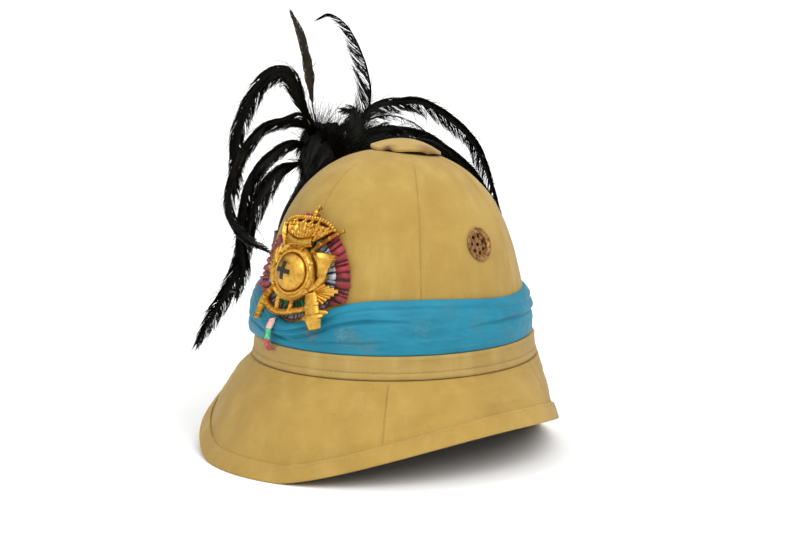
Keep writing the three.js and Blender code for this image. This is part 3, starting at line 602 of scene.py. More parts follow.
def make_crown(cloth, lining):
    share = 1 - (1 - np.linspace(0, 1, CROWN_ROWS)) ** 1.9
    share = np.minimum(share, 0.9992)
    fraction = np.arange(PANEL_COLUMNS) / PANEL_COLUMNS
    crowded = fraction - 0.9 * np.sin(TAU * fraction) / TAU
    edges = [seam_turn(seam, share) for seam in SEAMS]
    edges.append(edges[0] + TAU)
    turns, offsets, panels = [], [], []
    for number in range(len(SEAMS)):
        start, end = edges[number], edges[number + 1]
        turns.append(start[:, None] + (end - start)[:, None] * crowded)
        offsets.append(((crowded - 0.5)[None, :] * (end - start)[:, None]))
        panels.append(np.full((CROWN_ROWS, PANEL_COLUMNS), number))
    turn, offset, panel = (np.concatenate(part, axis=1) for part in (turns, offsets, panels))
    rise = np.broadcast_to((share * CROWN["height"])[:, None], turn.shape)
    reach = CROWN["width"] / 2 * crown_size(share)[:, None] * np.ones_like(turn)
    half = np.repeat(np.diff(np.stack(edges, axis=1), axis=1) / 2, PANEL_COLUMNS, axis=1)
    from_seam = (half - np.abs(offset)) * reach
    groove = -0.55 * bell(from_seam, 0.45) + 0.4 * bell(from_seam - 1.7, 1.3)
    pucker = 0.16 * np.sin(rise * TAU / 9 + 3 * np.sin(rise / 17)) * np.exp(-from_seam / 5)
    uneven = 0.3 * ripple(3, 70, 60, turn * 100, rise) + 0.14 * ripple(4, 24, 22, turn * 100, rise)
    fade = np.clip((0.985 - share) / 0.05, 0, 1)[:, None]
    outside = crown_point(turn, rise, (groove + pucker + uneven) * fade)
    up = run_length(crown_surface(0.8, share * CROWN["height"]))
    places = np.stack([offset * reach + panel * PANEL_APART, up[:, None] * np.ones_like(turn)], axis=2)
    shape = Shape()
    seam_places = np.concatenate([places, places[:, :1]], axis=1)
    seam_places[:, -1, 0] = (half * reach)[:, -1] + panel[0, -1] * PANEL_APART
    for number in range(len(SEAMS)):
        first = number * PANEL_COLUMNS
        block = np.take(outside, np.arange(first, first + PANEL_COLUMNS + 1) % outside.shape[1], axis=1)
        spot = seam_places[:, first:first + PANEL_COLUMNS + 1].copy()
        spot[:, -1, 0] = (half * reach)[:, first] + number * PANEL_APART
        shape.grid(block, places=spot)
    inside = crown_point(turn[:1], np.array(INNER_ROWS)[:, None] * CROWN["height"], -CROWN["wall"])
    inside[-1, :, 2] = CROWN["foot"]
    foot = crown_point(turn[:1], rise[:1], 0.0)
    foot[..., 2] = CROWN["foot"]
    lined = np.concatenate([inside, foot, outside[:1]])
    ring = np.arange(turn.shape[1])[None, :]
    flat = np.zeros((1, turn.shape[1], 2))
    # The faces that close the top, inside and outside
    shape.grid(lined, close_columns=True, slot=1)
    shape.faces(ring + shape.count - len(lined) * turn.shape[1], flat, 1)
    shape.points.append(outside[-1])
    shape.faces(ring + shape.count, flat, 0)
    shape.count += turn.shape[1]
    piece = shape.build("crown_cloth", [cloth, lining], turn_out=False)
    work = bmesh.new()
    work.from_mesh(piece.data)
    bmesh.ops.remove_doubles(work, verts=work.verts, dist=1e-7)
    bmesh.ops.recalc_face_normals(work, faces=work.faces)
    work.to_mesh(piece.data)
    work.free()
    drill(piece, [vent_drill(1), vent_drill(-1), top_drill()])
    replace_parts(piece, "crown")
    return piece


def cylinder(name, radius, length, place, axis, sides=64):
    """A plain closed cylinder for cutting, in millimetres."""
    work = bmesh.new()
    size = dict(radius1=radius * MM, radius2=radius * MM, depth=length * MM)
    bmesh.ops.create_cone(work, cap_ends=True, segments=sides, **size)
    turn = Vector((0, 0, 1)).rotation_difference(Vector(axis)).to_matrix().to_4x4()
    bmesh.ops.transform(work, matrix=Matrix.Translation(Vector((place + HAT) * MM)) @ turn, verts=work.verts)
    mesh = bpy.data.meshes.new(name)
    work.to_mesh(mesh)
    work.free()
    tool = bpy.data.objects.new(name, mesh)
    bpy.context.scene.collection.objects.link(tool)
    return tool


def vent_drill(side):
    _, _, outward, centre = crown_frame(side * math.radians(VENT["turn"]), VENT["rise"], 0.0)
    return cylinder("vent_drill", VENT["tube"] + GAP, 24, centre, outward)


def cap_frame():
    """The cap's middle, and its upward and rearward directions."""
    tilt = -math.radians(CAP["tilt"])
    centre = np.array([0.0, CAP_CENTRE, CROWN["foot"] + CROWN["height"]])
    rear = np.array([0.0, math.cos(tilt), math.sin(tilt)])
    up = np.array([0.0, -math.sin(tilt), math.cos(tilt)])
    return centre, rear, up


def top_drill():
    centre, _, up = cap_frame()
    return cylinder("top_drill", CAP["collar"] + GAP, 36, centre, up)


# Brim and binding

BRIM_SEAMS = [math.radians(47), math.radians(150)]


def rim_rise(turn):
    from_front = np.abs(np.degrees(np.arctan2(np.sin(turn), np.cos(turn))))
    from_end = np.minimum(from_front, 180 - from_front)
    share = np.maximum(from_end - BRIM["rest_half"], 0) / (90 - BRIM["rest_half"])
    return BRIM["side_rise"] * np.sin(share * math.pi / 2) ** BRIM["rise_curve"]


class BrimPlane:
    """The brim's outline in the upright planes at an array of turns."""

    def __init__(self, turn):
        self.turn = turn
        self.foot = crown_surface(turn, 0.0)
        ahead = np.cos(turn)
        reach_along = np.where(ahead > 0, BRIM["front"], BRIM["rear"])
        width = BRIM["width"] * (1 - BRIM["rear_taper"] * np.maximum(-ahead, 0) ** 2)
        rim = np.stack([width / 2 * np.sin(turn), -reach_along * ahead, self.foot[:, 2]], axis=1)
        self.swell = BRIM["rear_swell"] + (BRIM["swell"] - BRIM["rear_swell"]) * (ahead + 1) / 2
        away = rim - self.foot
        reach = np.linalg.norm(away, axis=1)
        self.outward = away / reach[:, None]
        ledge = HATBAND["thick"] + GAP * 5
        skin = BINDING["thick"] + GAP
        self.top = CROWN["foot"] - GAP
        self.bottom = rim_rise(turn)
        self.floor = self.bottom + skin
        fall = self.top - self.floor
        self.edge = reach - skin / np.tan(np.arctan2(fall, reach - ledge) / 2)
        self.slope = np.arctan2(fall, self.edge - ledge)
        self.across = BRIM["wall"] / np.sin(self.slope)
        self.sine, self.cosine = np.sin(self.slope)[:, None], np.cos(self.slope)[:, None]

    def at(self, out, height):
        """Points from columns of outward distance and height, each (turns, points)."""
        flat = self.foot[:, None, :2] + self.outward[:, None, :2] * out[..., None]
        return np.concatenate([flat, height[..., None]], axis=2)

    def slope_line(self, end, height, share, lift=0.0):
        """Out and height down a slope that ends at the rim, as the solid model has it."""
        length = (height - self.floor)[:, None] / self.sine
        straight = 1 - (BINDING["flap"] + 2) / length
        swell = self.swell[:, None] * np.sin(math.pi * share) + lift
        return self.flap_line(end, swell, length * (1 - share * straight))

    def flap_line(self, base, out, along):
        """Out and height at lengths up from the rim, at a distance off the slope."""
        across = base[:, None] - along * self.cosine + out * self.sine
        return across, self.floor[:, None] + along * self.sine + out * self.cosine

    def level_point(self, base, out, level):
        """How far out a line at a distance off the slope comes down to a level."""
        across, height = self.flap_line(base, out, 0.0)
        return across + (height - level) * self.cosine / self.sine


# Radial puckers of the brim's cloth: turn in degrees, strength and half width in degrees
PUCKERS = [(-24, 0.5, 1.3), (-15, 0.9, 1.6), (-8, 0.7, 1.2), (-2, 1.0, 1.8), (6, 0.6, 1.4), (14, 0.7, 1.7),
           (26, 0.4, 2.0), (61, 0.5, 1.8), (84, 0.6, 2.2), (105, 0.5, 2.0), (172, 0.7, 2.0), (188, 0.6, 1.8),
           (-60, 0.5, 2.0), (-88, 0.6, 2.2), (-120, 0.5, 2.0)]


def brim_relief(turn, share):
    """How far the cloth on the brim's top stands off its smooth slope."""
    degrees = np.degrees(turn)
    along, down = degrees * 2, share * 100
    total = 0.5 * ripple(11, 60, 40, along, down) + 0.18 * ripple(12, 16, 20, along, down)
    for centre, strength, width in PUCKERS:
        apart = np.degrees(angle_apart(turn, np.radians(centre + 3 * np.sin(3 * share + centre))))
        total = total + 0.9 * strength * bell(apart, width) * np.sin(math.pi * share) ** 0.5
    for seam in BRIM_SEAMS:
        apart = angle_apart(turn, seam) * 140
        total = total - 0.6 * bell(apart, 0.5) + 0.4 * bell(np.abs(apart) - 1.8, 1.2)
    return total * np.clip(share / 0.08, 0, 1)


def crowded_turns(count, seams):
    """Turns round the head from the rear, closer together beside each seam."""
    fine = np.linspace(-math.pi, math.pi, 20001)
    weight = np.ones_like(fine)
    for seam in seams:
        weight += 7 * bell(angle_apart(fine, seam), 0.03)
    total = np.concatenate([[0], np.cumsum((weight[1:] + weight[:-1]) / 2)])
    return np.interp(np.linspace(0, total[-1], count + 1)[:-1], total, fine)


# Columns of the ring meshes round the head, and rows down the brim's top and underside
AROUND = 400
BRIM_TOP_ROWS = 40
BRIM_LOW_ROWS = 12


def make_brim(cloth, lining):
    turn = crowded_turns(AROUND, BRIM_SEAMS)
    plane = BrimPlane(turn)
    down = np.linspace(0, 1, BRIM_TOP_ROWS)[None, :]
    top = plane.slope_line(plane.edge, plane.top, down, brim_relief(turn[:, None], down))
    under = np.linspace(1, 0, BRIM_LOW_ROWS)[None, :]
    uneven = 0.2 * ripple(13, 40, 30, np.degrees(turn)[:, None] * 2, under * 100)
    lip_floor = plane.top - BRIM["lip"]
    inner = plane.edge - plane.across
    low = plane.slope_line(inner, lip_floor, under, uneven)
    column = np.ones((len(turn), 1))
    wall = -CROWN["wall"] * column
    floor = plane.floor[:, None]
    out = np.concatenate([wall, top[0], plane.edge[:, None], inner[:, None], low[0], wall], axis=1)
    height = np.concatenate([column * plane.top, top[1], floor, floor, low[1], column * lip_floor], axis=1)
    slots = (np.arange(out.shape[1]) > BRIM_TOP_ROWS).astype(int)
    shape = Shape().grid(plane.at(out, height), close_rows=True, close_columns=True, slot=slots)
    piece = shape.build("brim_cloth", [cloth, lining])
    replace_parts(piece, "brim")
    return piece


STITCH = dict(length=2.6, pitch=3.4, radius=0.32, sides=6, rings=5)


def stitches(points, normals, material, name):
    """Small threads along a closed line of points, each a rounded capsule half sunk in the cloth."""
    path = np.vstack([points, points[:1]])
    length = run_length(path)
    count = int(length[-1] / STITCH["pitch"])
    middle = (np.arange(count) + 0.5) * length[-1] / count
    share = np.linspace(-1, 1, STITCH["rings"])
    where = middle[:, None] + share[None, :] * STITCH["length"] / 2
    lines = sample(where, length, path)
    outward = unit(sample(where, length, np.vstack([normals, normals[:1]])))
    along = unit(lines[:, -1:] - lines[:, :1]) * np.ones_like(lines)
    side = np.cross(outward, along)
    arch = np.sqrt(np.maximum(1 - share**2, 0.02))[None, :, None]
    around = (np.arange(STITCH["sides"]) / STITCH["sides"] * TAU)[None, None, :, None]
    radius = STITCH["radius"] * arch[..., None]
    centre = lines + outward * (arch - 0.75) * STITCH["radius"]
    away = np.cos(around) * side[:, :, None] + np.sin(around) * outward[:, :, None]
    piece = Shape().tubes(centre[:, :, None] + radius * away).build(name, [material])
    return piece


def make_binding(cloth, sewing):
    turn = crowded_turns(AROUND, [])
    plane = BrimPlane(turn)
    flap = BINDING["flap"]
    skin = BINDING["thick"] + GAP
    degrees = np.degrees(turn)[:, None]
    edge, inner = plane.edge, plane.edge - plane.across
    sine, cosine = plane.sine, plane.cosine
    stitch_line = flap - 2.4
    up = np.concatenate([np.linspace(flap, flap - 4.5, 16), np.linspace(flap - 5.2, 0.3, 9)])[None, :]
    edge_round = 0.9 * np.clip((flap - up) / 2.6, 0, 1) ** 0.5 - 0.9
    dimple = -0.4 * bell(up - stitch_line, 0.5) * (0.75 + 0.25 * np.cos(degrees * TAU / 1.35))
    tuck = 0.22 * np.sin(degrees * 2.4 + 2 * np.sin(degrees / 9)) * np.clip(up / 6, 0, 1)
    outer = plane.flap_line(edge, skin + edge_round + dimple + tuck * 0.6, up)
    # The lowest stretch runs level along the surface that the hat rests on, with round corners
    bottom = plane.bottom[:, None]
    outer_curve = bend((plane.level_point(edge, skin, bottom), bottom), (-cosine, sine), (-1.0, 0.0))
    inner_curve = bend((plane.level_point(inner, -skin, bottom), bottom), (1.0, 0.0), (-cosine, sine))
    back = plane.flap_line(inner, -skin, np.linspace(0.8, flap, 4)[None, :])
    tip = plane.flap_line(inner, -GAP, flap)
    level = plane.floor[:, None] - GAP
    inner_low = (plane.level_point(inner, -GAP, level), level)
    outer_low = (plane.level_point(edge, GAP, level), level)
    close = plane.flap_line(edge, GAP, flap)
    stretches = [outer, outer_curve, inner_curve, back, tip, inner_low, outer_low, close]
    out, height = (np.concatenate([stretch[k] for stretch in stretches], axis=1) for k in (0, 1))
    shape = Shape().grid(plane.at(out, height), close_rows=True, close_columns=True)
    piece = shape.build("binding_cloth", [cloth], sharp=60)
    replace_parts(piece, "brim_binding")
    line = plane.at(*plane.flap_line(edge, skin - 0.28, stitch_line))[:, 0]
    normal = np.concatenate([plane.outward[:, :2] * sine, cosine], axis=1)
    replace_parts(stitches(line, normal, sewing, "binding_stitches"), "brim_binding")
    return piece


BEND_REACH = 2.2


def bend(corner, first, second):
    """A round corner as a quadratic curve, from BEND_REACH away on one side to the same on the other."""
    share = np.linspace(0, 1, 6)[None, :]
    return [(at + first[k] * BEND_REACH) * (1 - share) ** 2 + 2 * at * share * (1 - share)
            + (at + second[k] * BEND_REACH) * share**2 for k, at in enumerate(corner)]


# Hatband


def make_hatband(cloth, sewing):
    turn = crowded_turns(340, [])[:, None]
    along = np.degrees(turn) * 2
    top, hem = HATBAND["height"], HATBAND["hem"]
    rise = np.linspace(0, top, 36)[None, :]
    round_hem = np.sqrt(np.clip(1 - ((rise - hem * 0.5) / (hem * 0.62)) ** 2, 0, 1))
    roll = HATBAND["swell"] * np.where(rise < hem, round_hem, 0)
    groove = -0.6 * bell(rise - hem, 0.55)
    top_edge = -0.5 * bell(rise - top, 0.7) + 0.35 * bell(rise - (top - 2.2), 1.2)
    low_edge = -0.7 * bell(rise, 0.7)
    wrinkle = 0.32 * ripple(21, 34, 14, along, rise) + 0.12 * ripple(22, 9, 11, along, rise)
    face = HATBAND["thick"] + roll + groove + top_edge + low_edge + wrinkle * np.clip(rise / 3, 0, 1)
    inside = crown_point(turn, np.linspace(top, 0, 3)[None, :], GAP)
    ring = np.concatenate([crown_point(turn, rise, face), inside], axis=1)
    piece = Shape().grid(ring, close_rows=True, close_columns=True).build("hatband_cloth", [cloth])
    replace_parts(piece, "hatband")
    line = crown_point(turn[:, 0], hem, HATBAND["thick"] - 0.45)
    normal = crown_normal(turn[:, 0], hem)
    sewn = stitches(line, normal, sewing, "hatband_stitches")
    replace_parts(sewn, "hatband")
    return piece


# Sash

# Layered folds: the lift of each edge, how far it fades upward, and its points of turn and share of height
FOLDS = [
    (1.1, 9, [(-180, 0.80), (-110, 0.84), (-60, 0.82), (-25, 0.76), (0, 0.76), (30, 0.86), (60, 0.88),
              (100, 0.84), (140, 0.78), (180, 0.80)]),
    (1.8, 12, [(76, 0.44), (86, 0.51), (101, 0.575), (112, 0.57), (125, 0.55), (150, 0.50), (180, 0.46)]),
    (1.6, 12, [(-180, 0.46), (-150, 0.38), (-120, 0.42), (-95, 0.52), (-74, 0.46)]),
    (2.4, 6, [(-46, 0.30), (-22, 0.32), (-8, 0.38), (1.4, 0.46), (9.4, 0.52), (18.6, 0.62), (37, 0.66),
              (58, 0.62)]),
    (2.0, 5, [(-34, 0.78), (-20, 0.68), (-8, 0.58), (6, 0.74), (18, 0.82), (30, 0.84)]),
    (1.6, 4, [(-20, 0.44), (-8, 0.46), (4, 0.32), (16, 0.26), (34, 0.24), (52, 0.28)]),
]
# The edge of the bunched silk on the wearer's right: height above the crown's foot, and turn in degrees
BUNCH_EDGE = [(17, -10), (34, -14), (46, -24), (58, -33)]


def sash_top(turn):
    degrees = np.degrees(np.arctan2(np.sin(turn), np.cos(turn)))
    share = np.clip((np.abs(degrees) - SASH["rear_start"]) / (SASH["rear_end"] - SASH["rear_start"]), 0, 1)
    fall = (SASH["rear_top"] - SASH["top"]) * share * share * (3 - 2 * share)
    return SASH["top"] + fall - SASH["dip"] * bell(degrees, SASH["dip_angle"])


def fold_relief(degrees, share, height):
    total = np.zeros(np.broadcast(degrees, share).shape)
    for lift, fall, path in FOLDS:
        turns, shares = (np.array(column) for column in zip(*path))
        middle = np.interp(degrees, turns, shares)
        starts = np.ones_like(total) if turns[0] == -180 else np.clip((degrees - turns[0]) / 14, 0, 1)
        ends = np.ones_like(total) if turns[-1] == 180 else np.clip((turns[-1] - degrees) / 14, 0, 1)
        if turns[0] == -180 and turns[-1] < 0:
            ends = np.where(degrees > 150, 1.0, ends)
        if turns[-1] == 180 and turns[0] > 0:
            starts = np.where(degrees < -150, 1.0, starts)
        over = (share - middle) * height
        step = 0.5 + 0.5 * np.tanh(over / 0.8)
        strength = lift * starts * ends
        total = total + strength * step * np.exp(-np.maximum(over, 0) / fall)
        total = total - 0.6 * strength * bell(over + 1.4, 1.4)
    rises, edges = (np.array(column) for column in zip(*BUNCH_EDGE))
    past = (np.interp(SASH_FOOT + share * height, rises, edges) - degrees) * 1.5
    return total + 2.2 * (0.5 + 0.5 * np.tanh(past / 1.2)) * np.exp(-np.maximum(past, 0) / 30)


def sash_face(turn, share):
    """How far the sash's face stands off the crown."""
    degrees = np.degrees(turn)
    height = sash_top(turn) - SASH_FOOT
    rounding = np.clip(np.sin(math.pi * share), 0, 1) ** 0.5
    along, above = degrees * 2, share * height
    soft = 0.45 * ripple(31, 46, 9, along, above) + 0.2 * ripple(32, 16, 4.5, along, above)
    bunch = bell(degrees - SASH["bulge_turn"], SASH["bulge_width"])
    hang = SASH["bulge"] * bunch * np.clip(1.1 - 0.5 * share, 0, 1)
    low = np.clip(1 - share / 0.25, 0, 1)
    face = SASH["edge"] + rounding * (SASH["belly"] + fold_relief(degrees, share, height) + soft + hang)
    return np.maximum(face + low * 5.5 * bunch, GAP + 0.5)


def make_sash(silk):
    turn = crowded_turns(AROUND, [0.15])[:, None]
    share = np.linspace(0, 1, 74)[None, :]
    back = np.linspace(1, 0, 4)[None, :]
    height = sash_top(turn) - SASH_FOOT
    bunch = bell(np.degrees(turn) - SASH["bulge_turn"], SASH["bulge_width"])
    droop = 4.5 * bunch * np.clip(1 - share / 0.5, 0, 1) ** 2
    outside = crown_point(turn, SASH_FOOT + share * height - droop, sash_face(turn, share))
    inside = crown_point(turn, SASH_FOOT + back * height, GAP)
    shape = Shape().grid(np.concatenate([outside, inside], axis=1), close_rows=True, close_columns=True)
    piece = shape.build("sash_silk", [silk])
    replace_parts(piece, "sash")
    return piece


# Cockade

# Columns of a pleat, rows of a ring, and the share of a pleat's width over which it rises
PLEAT_COLUMNS = 12
RING_ROWS = 14
RISING = 0.7


def make_cockade_ring(name, node, inner, outer, pleats, material, seed, crest, rings_outside):
    """A ring of uneven pleats: each rises slowly and drops back under the next, with a ruffled edge."""
    dice = np.random.default_rng(seed)
    widths = dice.uniform(0.45, 1.6, pleats)
    edges = np.concatenate([[0], np.cumsum(widths)]) / widths.sum() * TAU
    phase = np.tile(np.arange(PLEAT_COLUMNS) / PLEAT_COLUMNS, pleats)
    angle = np.repeat(edges[:-1], PLEAT_COLUMNS) + np.repeat(np.diff(edges), PLEAT_COLUMNS) * phase
    size = np.repeat(dice.uniform(0.55, 1.2, pleats), PLEAT_COLUMNS)
    lean = np.repeat(dice.uniform(-1, 1, pleats), PLEAT_COLUMNS)[:, None]
    rise = np.sin(phase / RISING * math.pi / 2)
    drop = np.cos((phase - RISING) / (1 - RISING) * math.pi / 2)
    saw = np.where(phase < RISING, rise, drop) * size
    share = np.linspace(0, 1, RING_ROWS)
    reach_centre = CROWN["width"] / 2 * crown_size(COCKADE["rise"] / CROWN["height"])
    covered = GAP * 4 + rings_outside * (COCKADE["tuck"] + GAP)
    ruffle = 1 + 0.03 * (saw - 0.5) * size
    ring, heights, arcs = [], [], []
    for side, order in ((0.45, share), (-0.45, share[::-1])):
        radius = (inner + (outer - inner) * order)[None, :] * (1 + (ruffle[:, None] - 1) * order[None, :])
        twist = angle[:, None] + (1.1 / pleats) * np.sin(order * math.pi)[None, :] * lean
        turn = math.radians(COCKADE["turn"]) + radius * np.cos(twist) / reach_centre
        room = COCKADE["rise"] - sash_top(turn) - covered - COCKADE["tuck"] * (1 - order)[None, :]
        down = -np.sin(twist) * radius
        radius = np.where(down > room, radius * room / np.maximum(down, 1e-6), radius)
        fold = saw[:, None] * (0.45 + 0.55 * order)[None, :] * crest
        fold = fold * (1 + 0.22 * np.sin(order * 7 + lean * 5))
        crinkle = 0.55 * np.sin(radius * 1.9 + 5 * lean) * np.sin(twist * pleats * 2.3 + lean * 4) * order
        # On the wearer's right the outer ribbon stands away from the crown, over the bunched silk
        low_side = np.clip((18 - radius * np.sin(twist)) / 26, 0.15, 1)
        flare = 4.4 * np.clip((-radius * np.cos(twist) - 27) / 17, 0, 1) ** 1.5 * low_side
        off = GAP + 0.75 + side + np.maximum(fold + crinkle, 0) + flare
        ring.append(front_point(COCKADE, radius * np.cos(twist), radius * np.sin(twist), off))
        heights.append(fold)
        arcs.append(radius * twist)
    # The fold height goes into the cloth's second length, where the ribbon finish paints shade in the
    # valleys and highlights on the crests
    places = np.stack([np.concatenate(arcs, axis=1), np.concatenate(heights, axis=1)], axis=2)
    places = np.concatenate([places, places[:1] + [[[outer * TAU, 0]]]], axis=0)
    places = np.concatenate([places, places[:, :1]], axis=1)
    shape = Shape().grid(np.concatenate(ring, axis=1), close_rows=True, close_columns=True, places=places)
    piece = shape.build(name, [material], sharp=70)
    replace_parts(piece, node)
    return piece


# Badge: laid out flat about the boss's centre, turned by the badge's tilt and bent round the crown


def badge_point(left, above, out):
    tilt = -math.radians(BADGE["tilt"])
    x = left * math.cos(tilt) - above * math.sin(tilt)
    y = left * math.sin(tilt) + above * math.cos(tilt)
    return front_point(BADGE, x, y, BADGE["back"] + out)


def badge_grid(shape, left, above, out, **options):
    """Adds a surface given flat, with its height above the badge's back kept as the place for its finish."""
    points = badge_point(left, above, out)
    close_rows, close_columns = options.get("close_rows"), options.get("close_columns")
    places = np.stack([left * 0.2, out], axis=2)
    if close_rows:
        places = np.concatenate([places, places[:1]], axis=0)
    if close_columns:
        places = np.concatenate([places, places[:, :1]], axis=1)
    shape.grid(points, places=places, **options)


# The face of a cast bar or leaf: turns over it, places across it with its back, and the back's height
FACE_TURNS = np.linspace(0, math.pi, 9)
FACE_SIDES = np.concatenate([np.cos(FACE_TURNS), [-1.0, 1.0]])
BACK = [-0.05, -0.05]


def badge_bar(shape, rows, steps=24, flatness=1.0, ridge=0.0):
    """A cast bar with a rounded face along flat points. Rows: left, above, width, height."""
    line = smooth_path(rows, steps)
    along = unit(np.gradient(line[:, :2], axis=0))
    across = np.stack([-along[:, 1], along[:, 0]], axis=1)
    face = np.sin(FACE_TURNS) ** flatness + ridge * bell(np.cos(FACE_TURNS), 0.25)
    tall = np.concatenate([face, BACK])
    left = line[:, :1] + across[:, :1] * FACE_SIDES[None, :] * line[:, 2:3] / 2
    above = line[:, 1:2] + across[:, 1:2] * FACE_SIDES[None, :] * line[:, 2:3] / 2
    out = np.maximum(tall[None, :] * line[:, 3:4], 0.0)
    badge_grid(shape, left, above, out, close_columns=True, caps=True)


def badge_barrel(shape, rows, sides=20, steps=60, rise=0.75, lean=0.0):
    """A round barrel along a flat line with straight steps, whose far end may lean open.

    Rows: left, above, radius, lift of its middle.
    """
    rows = np.asarray(rows, dtype=float)
    length = run_length(rows[:, :2])
    wanted = np.linspace(0, length[-1], steps)
    line = sample(wanted, length, rows)
    along = unit(line[len(line) // 2, :2] - line[0, :2])
    around = np.arange(sides) / sides * TAU
    left = line[:, :1] - along[1] * np.cos(around)[None, :] * line[:, 2:3]
    above = line[:, 1:2] + along[0] * np.cos(around)[None, :] * line[:, 2:3]
    over = rise * np.sin(around)[None, :] * line[:, 2:3]
    open_share = lean * np.clip(wanted / length[-1] * 2 - 0.9, 0, 1)[:, None]
    out = np.maximum(line[:, 3:4] + over, 0.0)
    badge_grid(shape, left - along[0] * over * open_share, above - along[1] * over * open_share, out,
               close_columns=True, caps=True)


def badge_wire(shape, radius, tube, lift, beads=0, swell=0.0, start=0.0, end=360.0, steps=160):
    """A round wire about the boss, which may swell into beads along its length."""
    closed = end - start >= 360
    angle = np.radians(np.linspace(start, end, steps, endpoint=not closed))
    thick = tube * (1 + swell * np.abs(np.sin(angle * beads / 2))) if beads else np.full_like(angle, tube)
    around = np.arange(12) / 12 * TAU
    reach = radius + thick[:, None] * np.cos(around)[None, :]
    out = lift + thick[:, None] * np.sin(around)[None, :]
    badge_grid(shape, reach * np.cos(angle)[:, None], reach * np.sin(angle)[:, None], out,
               close_rows=closed, close_columns=True, caps=not closed)


def badge_bead(shape, left, above, radius, lift):
    """A round bead, as a small ball set in the cast."""
    polar = np.linspace(0.12, math.pi - 0.12, 9)
    around = np.arange(12) / 12 * TAU
    x = left + radius * np.sin(polar)[:, None] * np.cos(around)[None, :]
    y = above + radius * np.sin(polar)[:, None] * np.sin(around)[None, :]
    out = lift + radius * np.cos(polar)[:, None] * np.ones_like(around)[None, :]
    badge_grid(shape, x, y, np.maximum(out, 0.0), close_columns=True, caps=True)


def badge_leaf(shape, left, above, length, width, heading, height, lift=0.0):
    """A veined leaf that points along heading, in degrees from the wearer's left."""
    share = np.linspace(0, 1, 14)
    away = np.array([math.cos(math.radians(heading)), math.sin(math.radians(heading))])
    half = width / 2 * np.sin(math.pi * np.clip(share, 0.03, 0.985)) ** 0.8 * (1 + 0.12 * np.cos(share * 26))
    veined = np.sin(FACE_TURNS) ** 0.7 - 0.3 * bell(np.cos(FACE_TURNS), 0.16)
    tall = np.concatenate([veined, BACK])
    x = left + away[0] * share[:, None] * length - away[1] * FACE_SIDES[None, :] * half[:, None]
    y = above + away[1] * share[:, None] * length + away[0] * FACE_SIDES[None, :] * half[:, None]
    out = lift + tall[None, :] * height * np.sin(math.pi * np.clip(share, 0.06, 0.94))[:, None] ** 0.4
    badge_grid(shape, x, y, np.maximum(out, 0.0), close_columns=True, caps=True)


def make_badge(gilt, dark):
    pieces = [badge_boss(gilt, dark), badge_trophies(gilt), badge_crown(gilt)]
    for piece in pieces:
        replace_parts(piece, "badge")
    return pieces


def badge_dome(radius):
    """Height of the boss above the badge's back at a distance from its centre."""
    share = np.clip(radius / BADGE["boss"] / 0.97, 0, 1)
    return BADGE["plate"] + (BADGE["boss_height"] - BADGE["plate"]) * np.sqrt(1 - share**2)


def badge_boss(gilt, dark):
    shape = Shape()
    boss, plate = BADGE["boss"], BADGE["plate"]
    dome_share = np.linspace(0.02, 0.93, 28)
    rim_share = np.array([0.96, 0.98, 1.0, 1.02, 1.05, 1.08, 1.1, 1.12, 1.13, 1.13])
    rim = plate + np.array([-0.2, -0.2, 0.2, 1.0, 1.5, 1.3, 0.8, 0.2, -0.6, -plate])
    share = np.concatenate([dome_share, rim_share])
    out = np.concatenate([badge_dome(boss * dome_share), rim])
    steps = 88
    angle = np.arange(steps) / steps * TAU
    left = boss * share[:, None] * np.cos(angle)[None, :]
    above = boss * share[:, None] * np.sin(angle)[None, :]
    badge_grid(shape, left, above, out[:, None] * np.ones_like(left), close_columns=True, caps=True)
    # The cross is a dark inlay whose face follows the dome
    arm, half, deep, proud = 6.3, 1.6, 1.2, 0.28
    beside, over = -2.4, 0.4
    def bar(first, second, sideways):
        run = np.linspace(first, second, 14)[:, None]
        width = np.array([-1, -1, -0.5, 0, 0.5, 1, 1])[None, :] * half
        x, y = (run + 0 * width, width + 0 * run) if sideways else (width + 0 * run, run + 0 * width)
        x, y = x + beside, y + over
        top = badge_dome(np.hypot(x, y)) + np.array([-deep, *[proud] * 5, -deep])[None, :]
        badge_grid(shape, x, y, top, close_columns=True, caps=True, slot=1)
    bar(-arm, arm, True)
    bar(half, arm, False)
    bar(-arm, -half, False)
    return shape.build("badge_boss", [gilt, dark], sharp=40)


# Bars: left, above, width and height along each
MUSKETS = [
    [(9, 13, 3.4, 3.0), (18, 24.5, 3.2, 3.2), (32.8, 36.5, 2.0, 3.0)],
    [(-12.5, -12, 3.6, 4.6), (-22.5, -23, 3.3, 4.8), (-26.5, -33, 2.8, 4.9), (-29.8, -42.9, 1.8, 4.6)],
    [(-9.6, 12.4, 3.6, 3.0), (-16, 17.5, 3.3, 3.2), (-22.5, 24, 3.0, 3.0), (-25, 30, 2.4, 3.0)],
]
HORN_NECK = [(13.5, -12, 4.4, 4.4), (20.5, -6, 5.2, 4.8), (24.4, 0, 6.0, 5.4), (25.1, 4, 6.6, 6.0)]
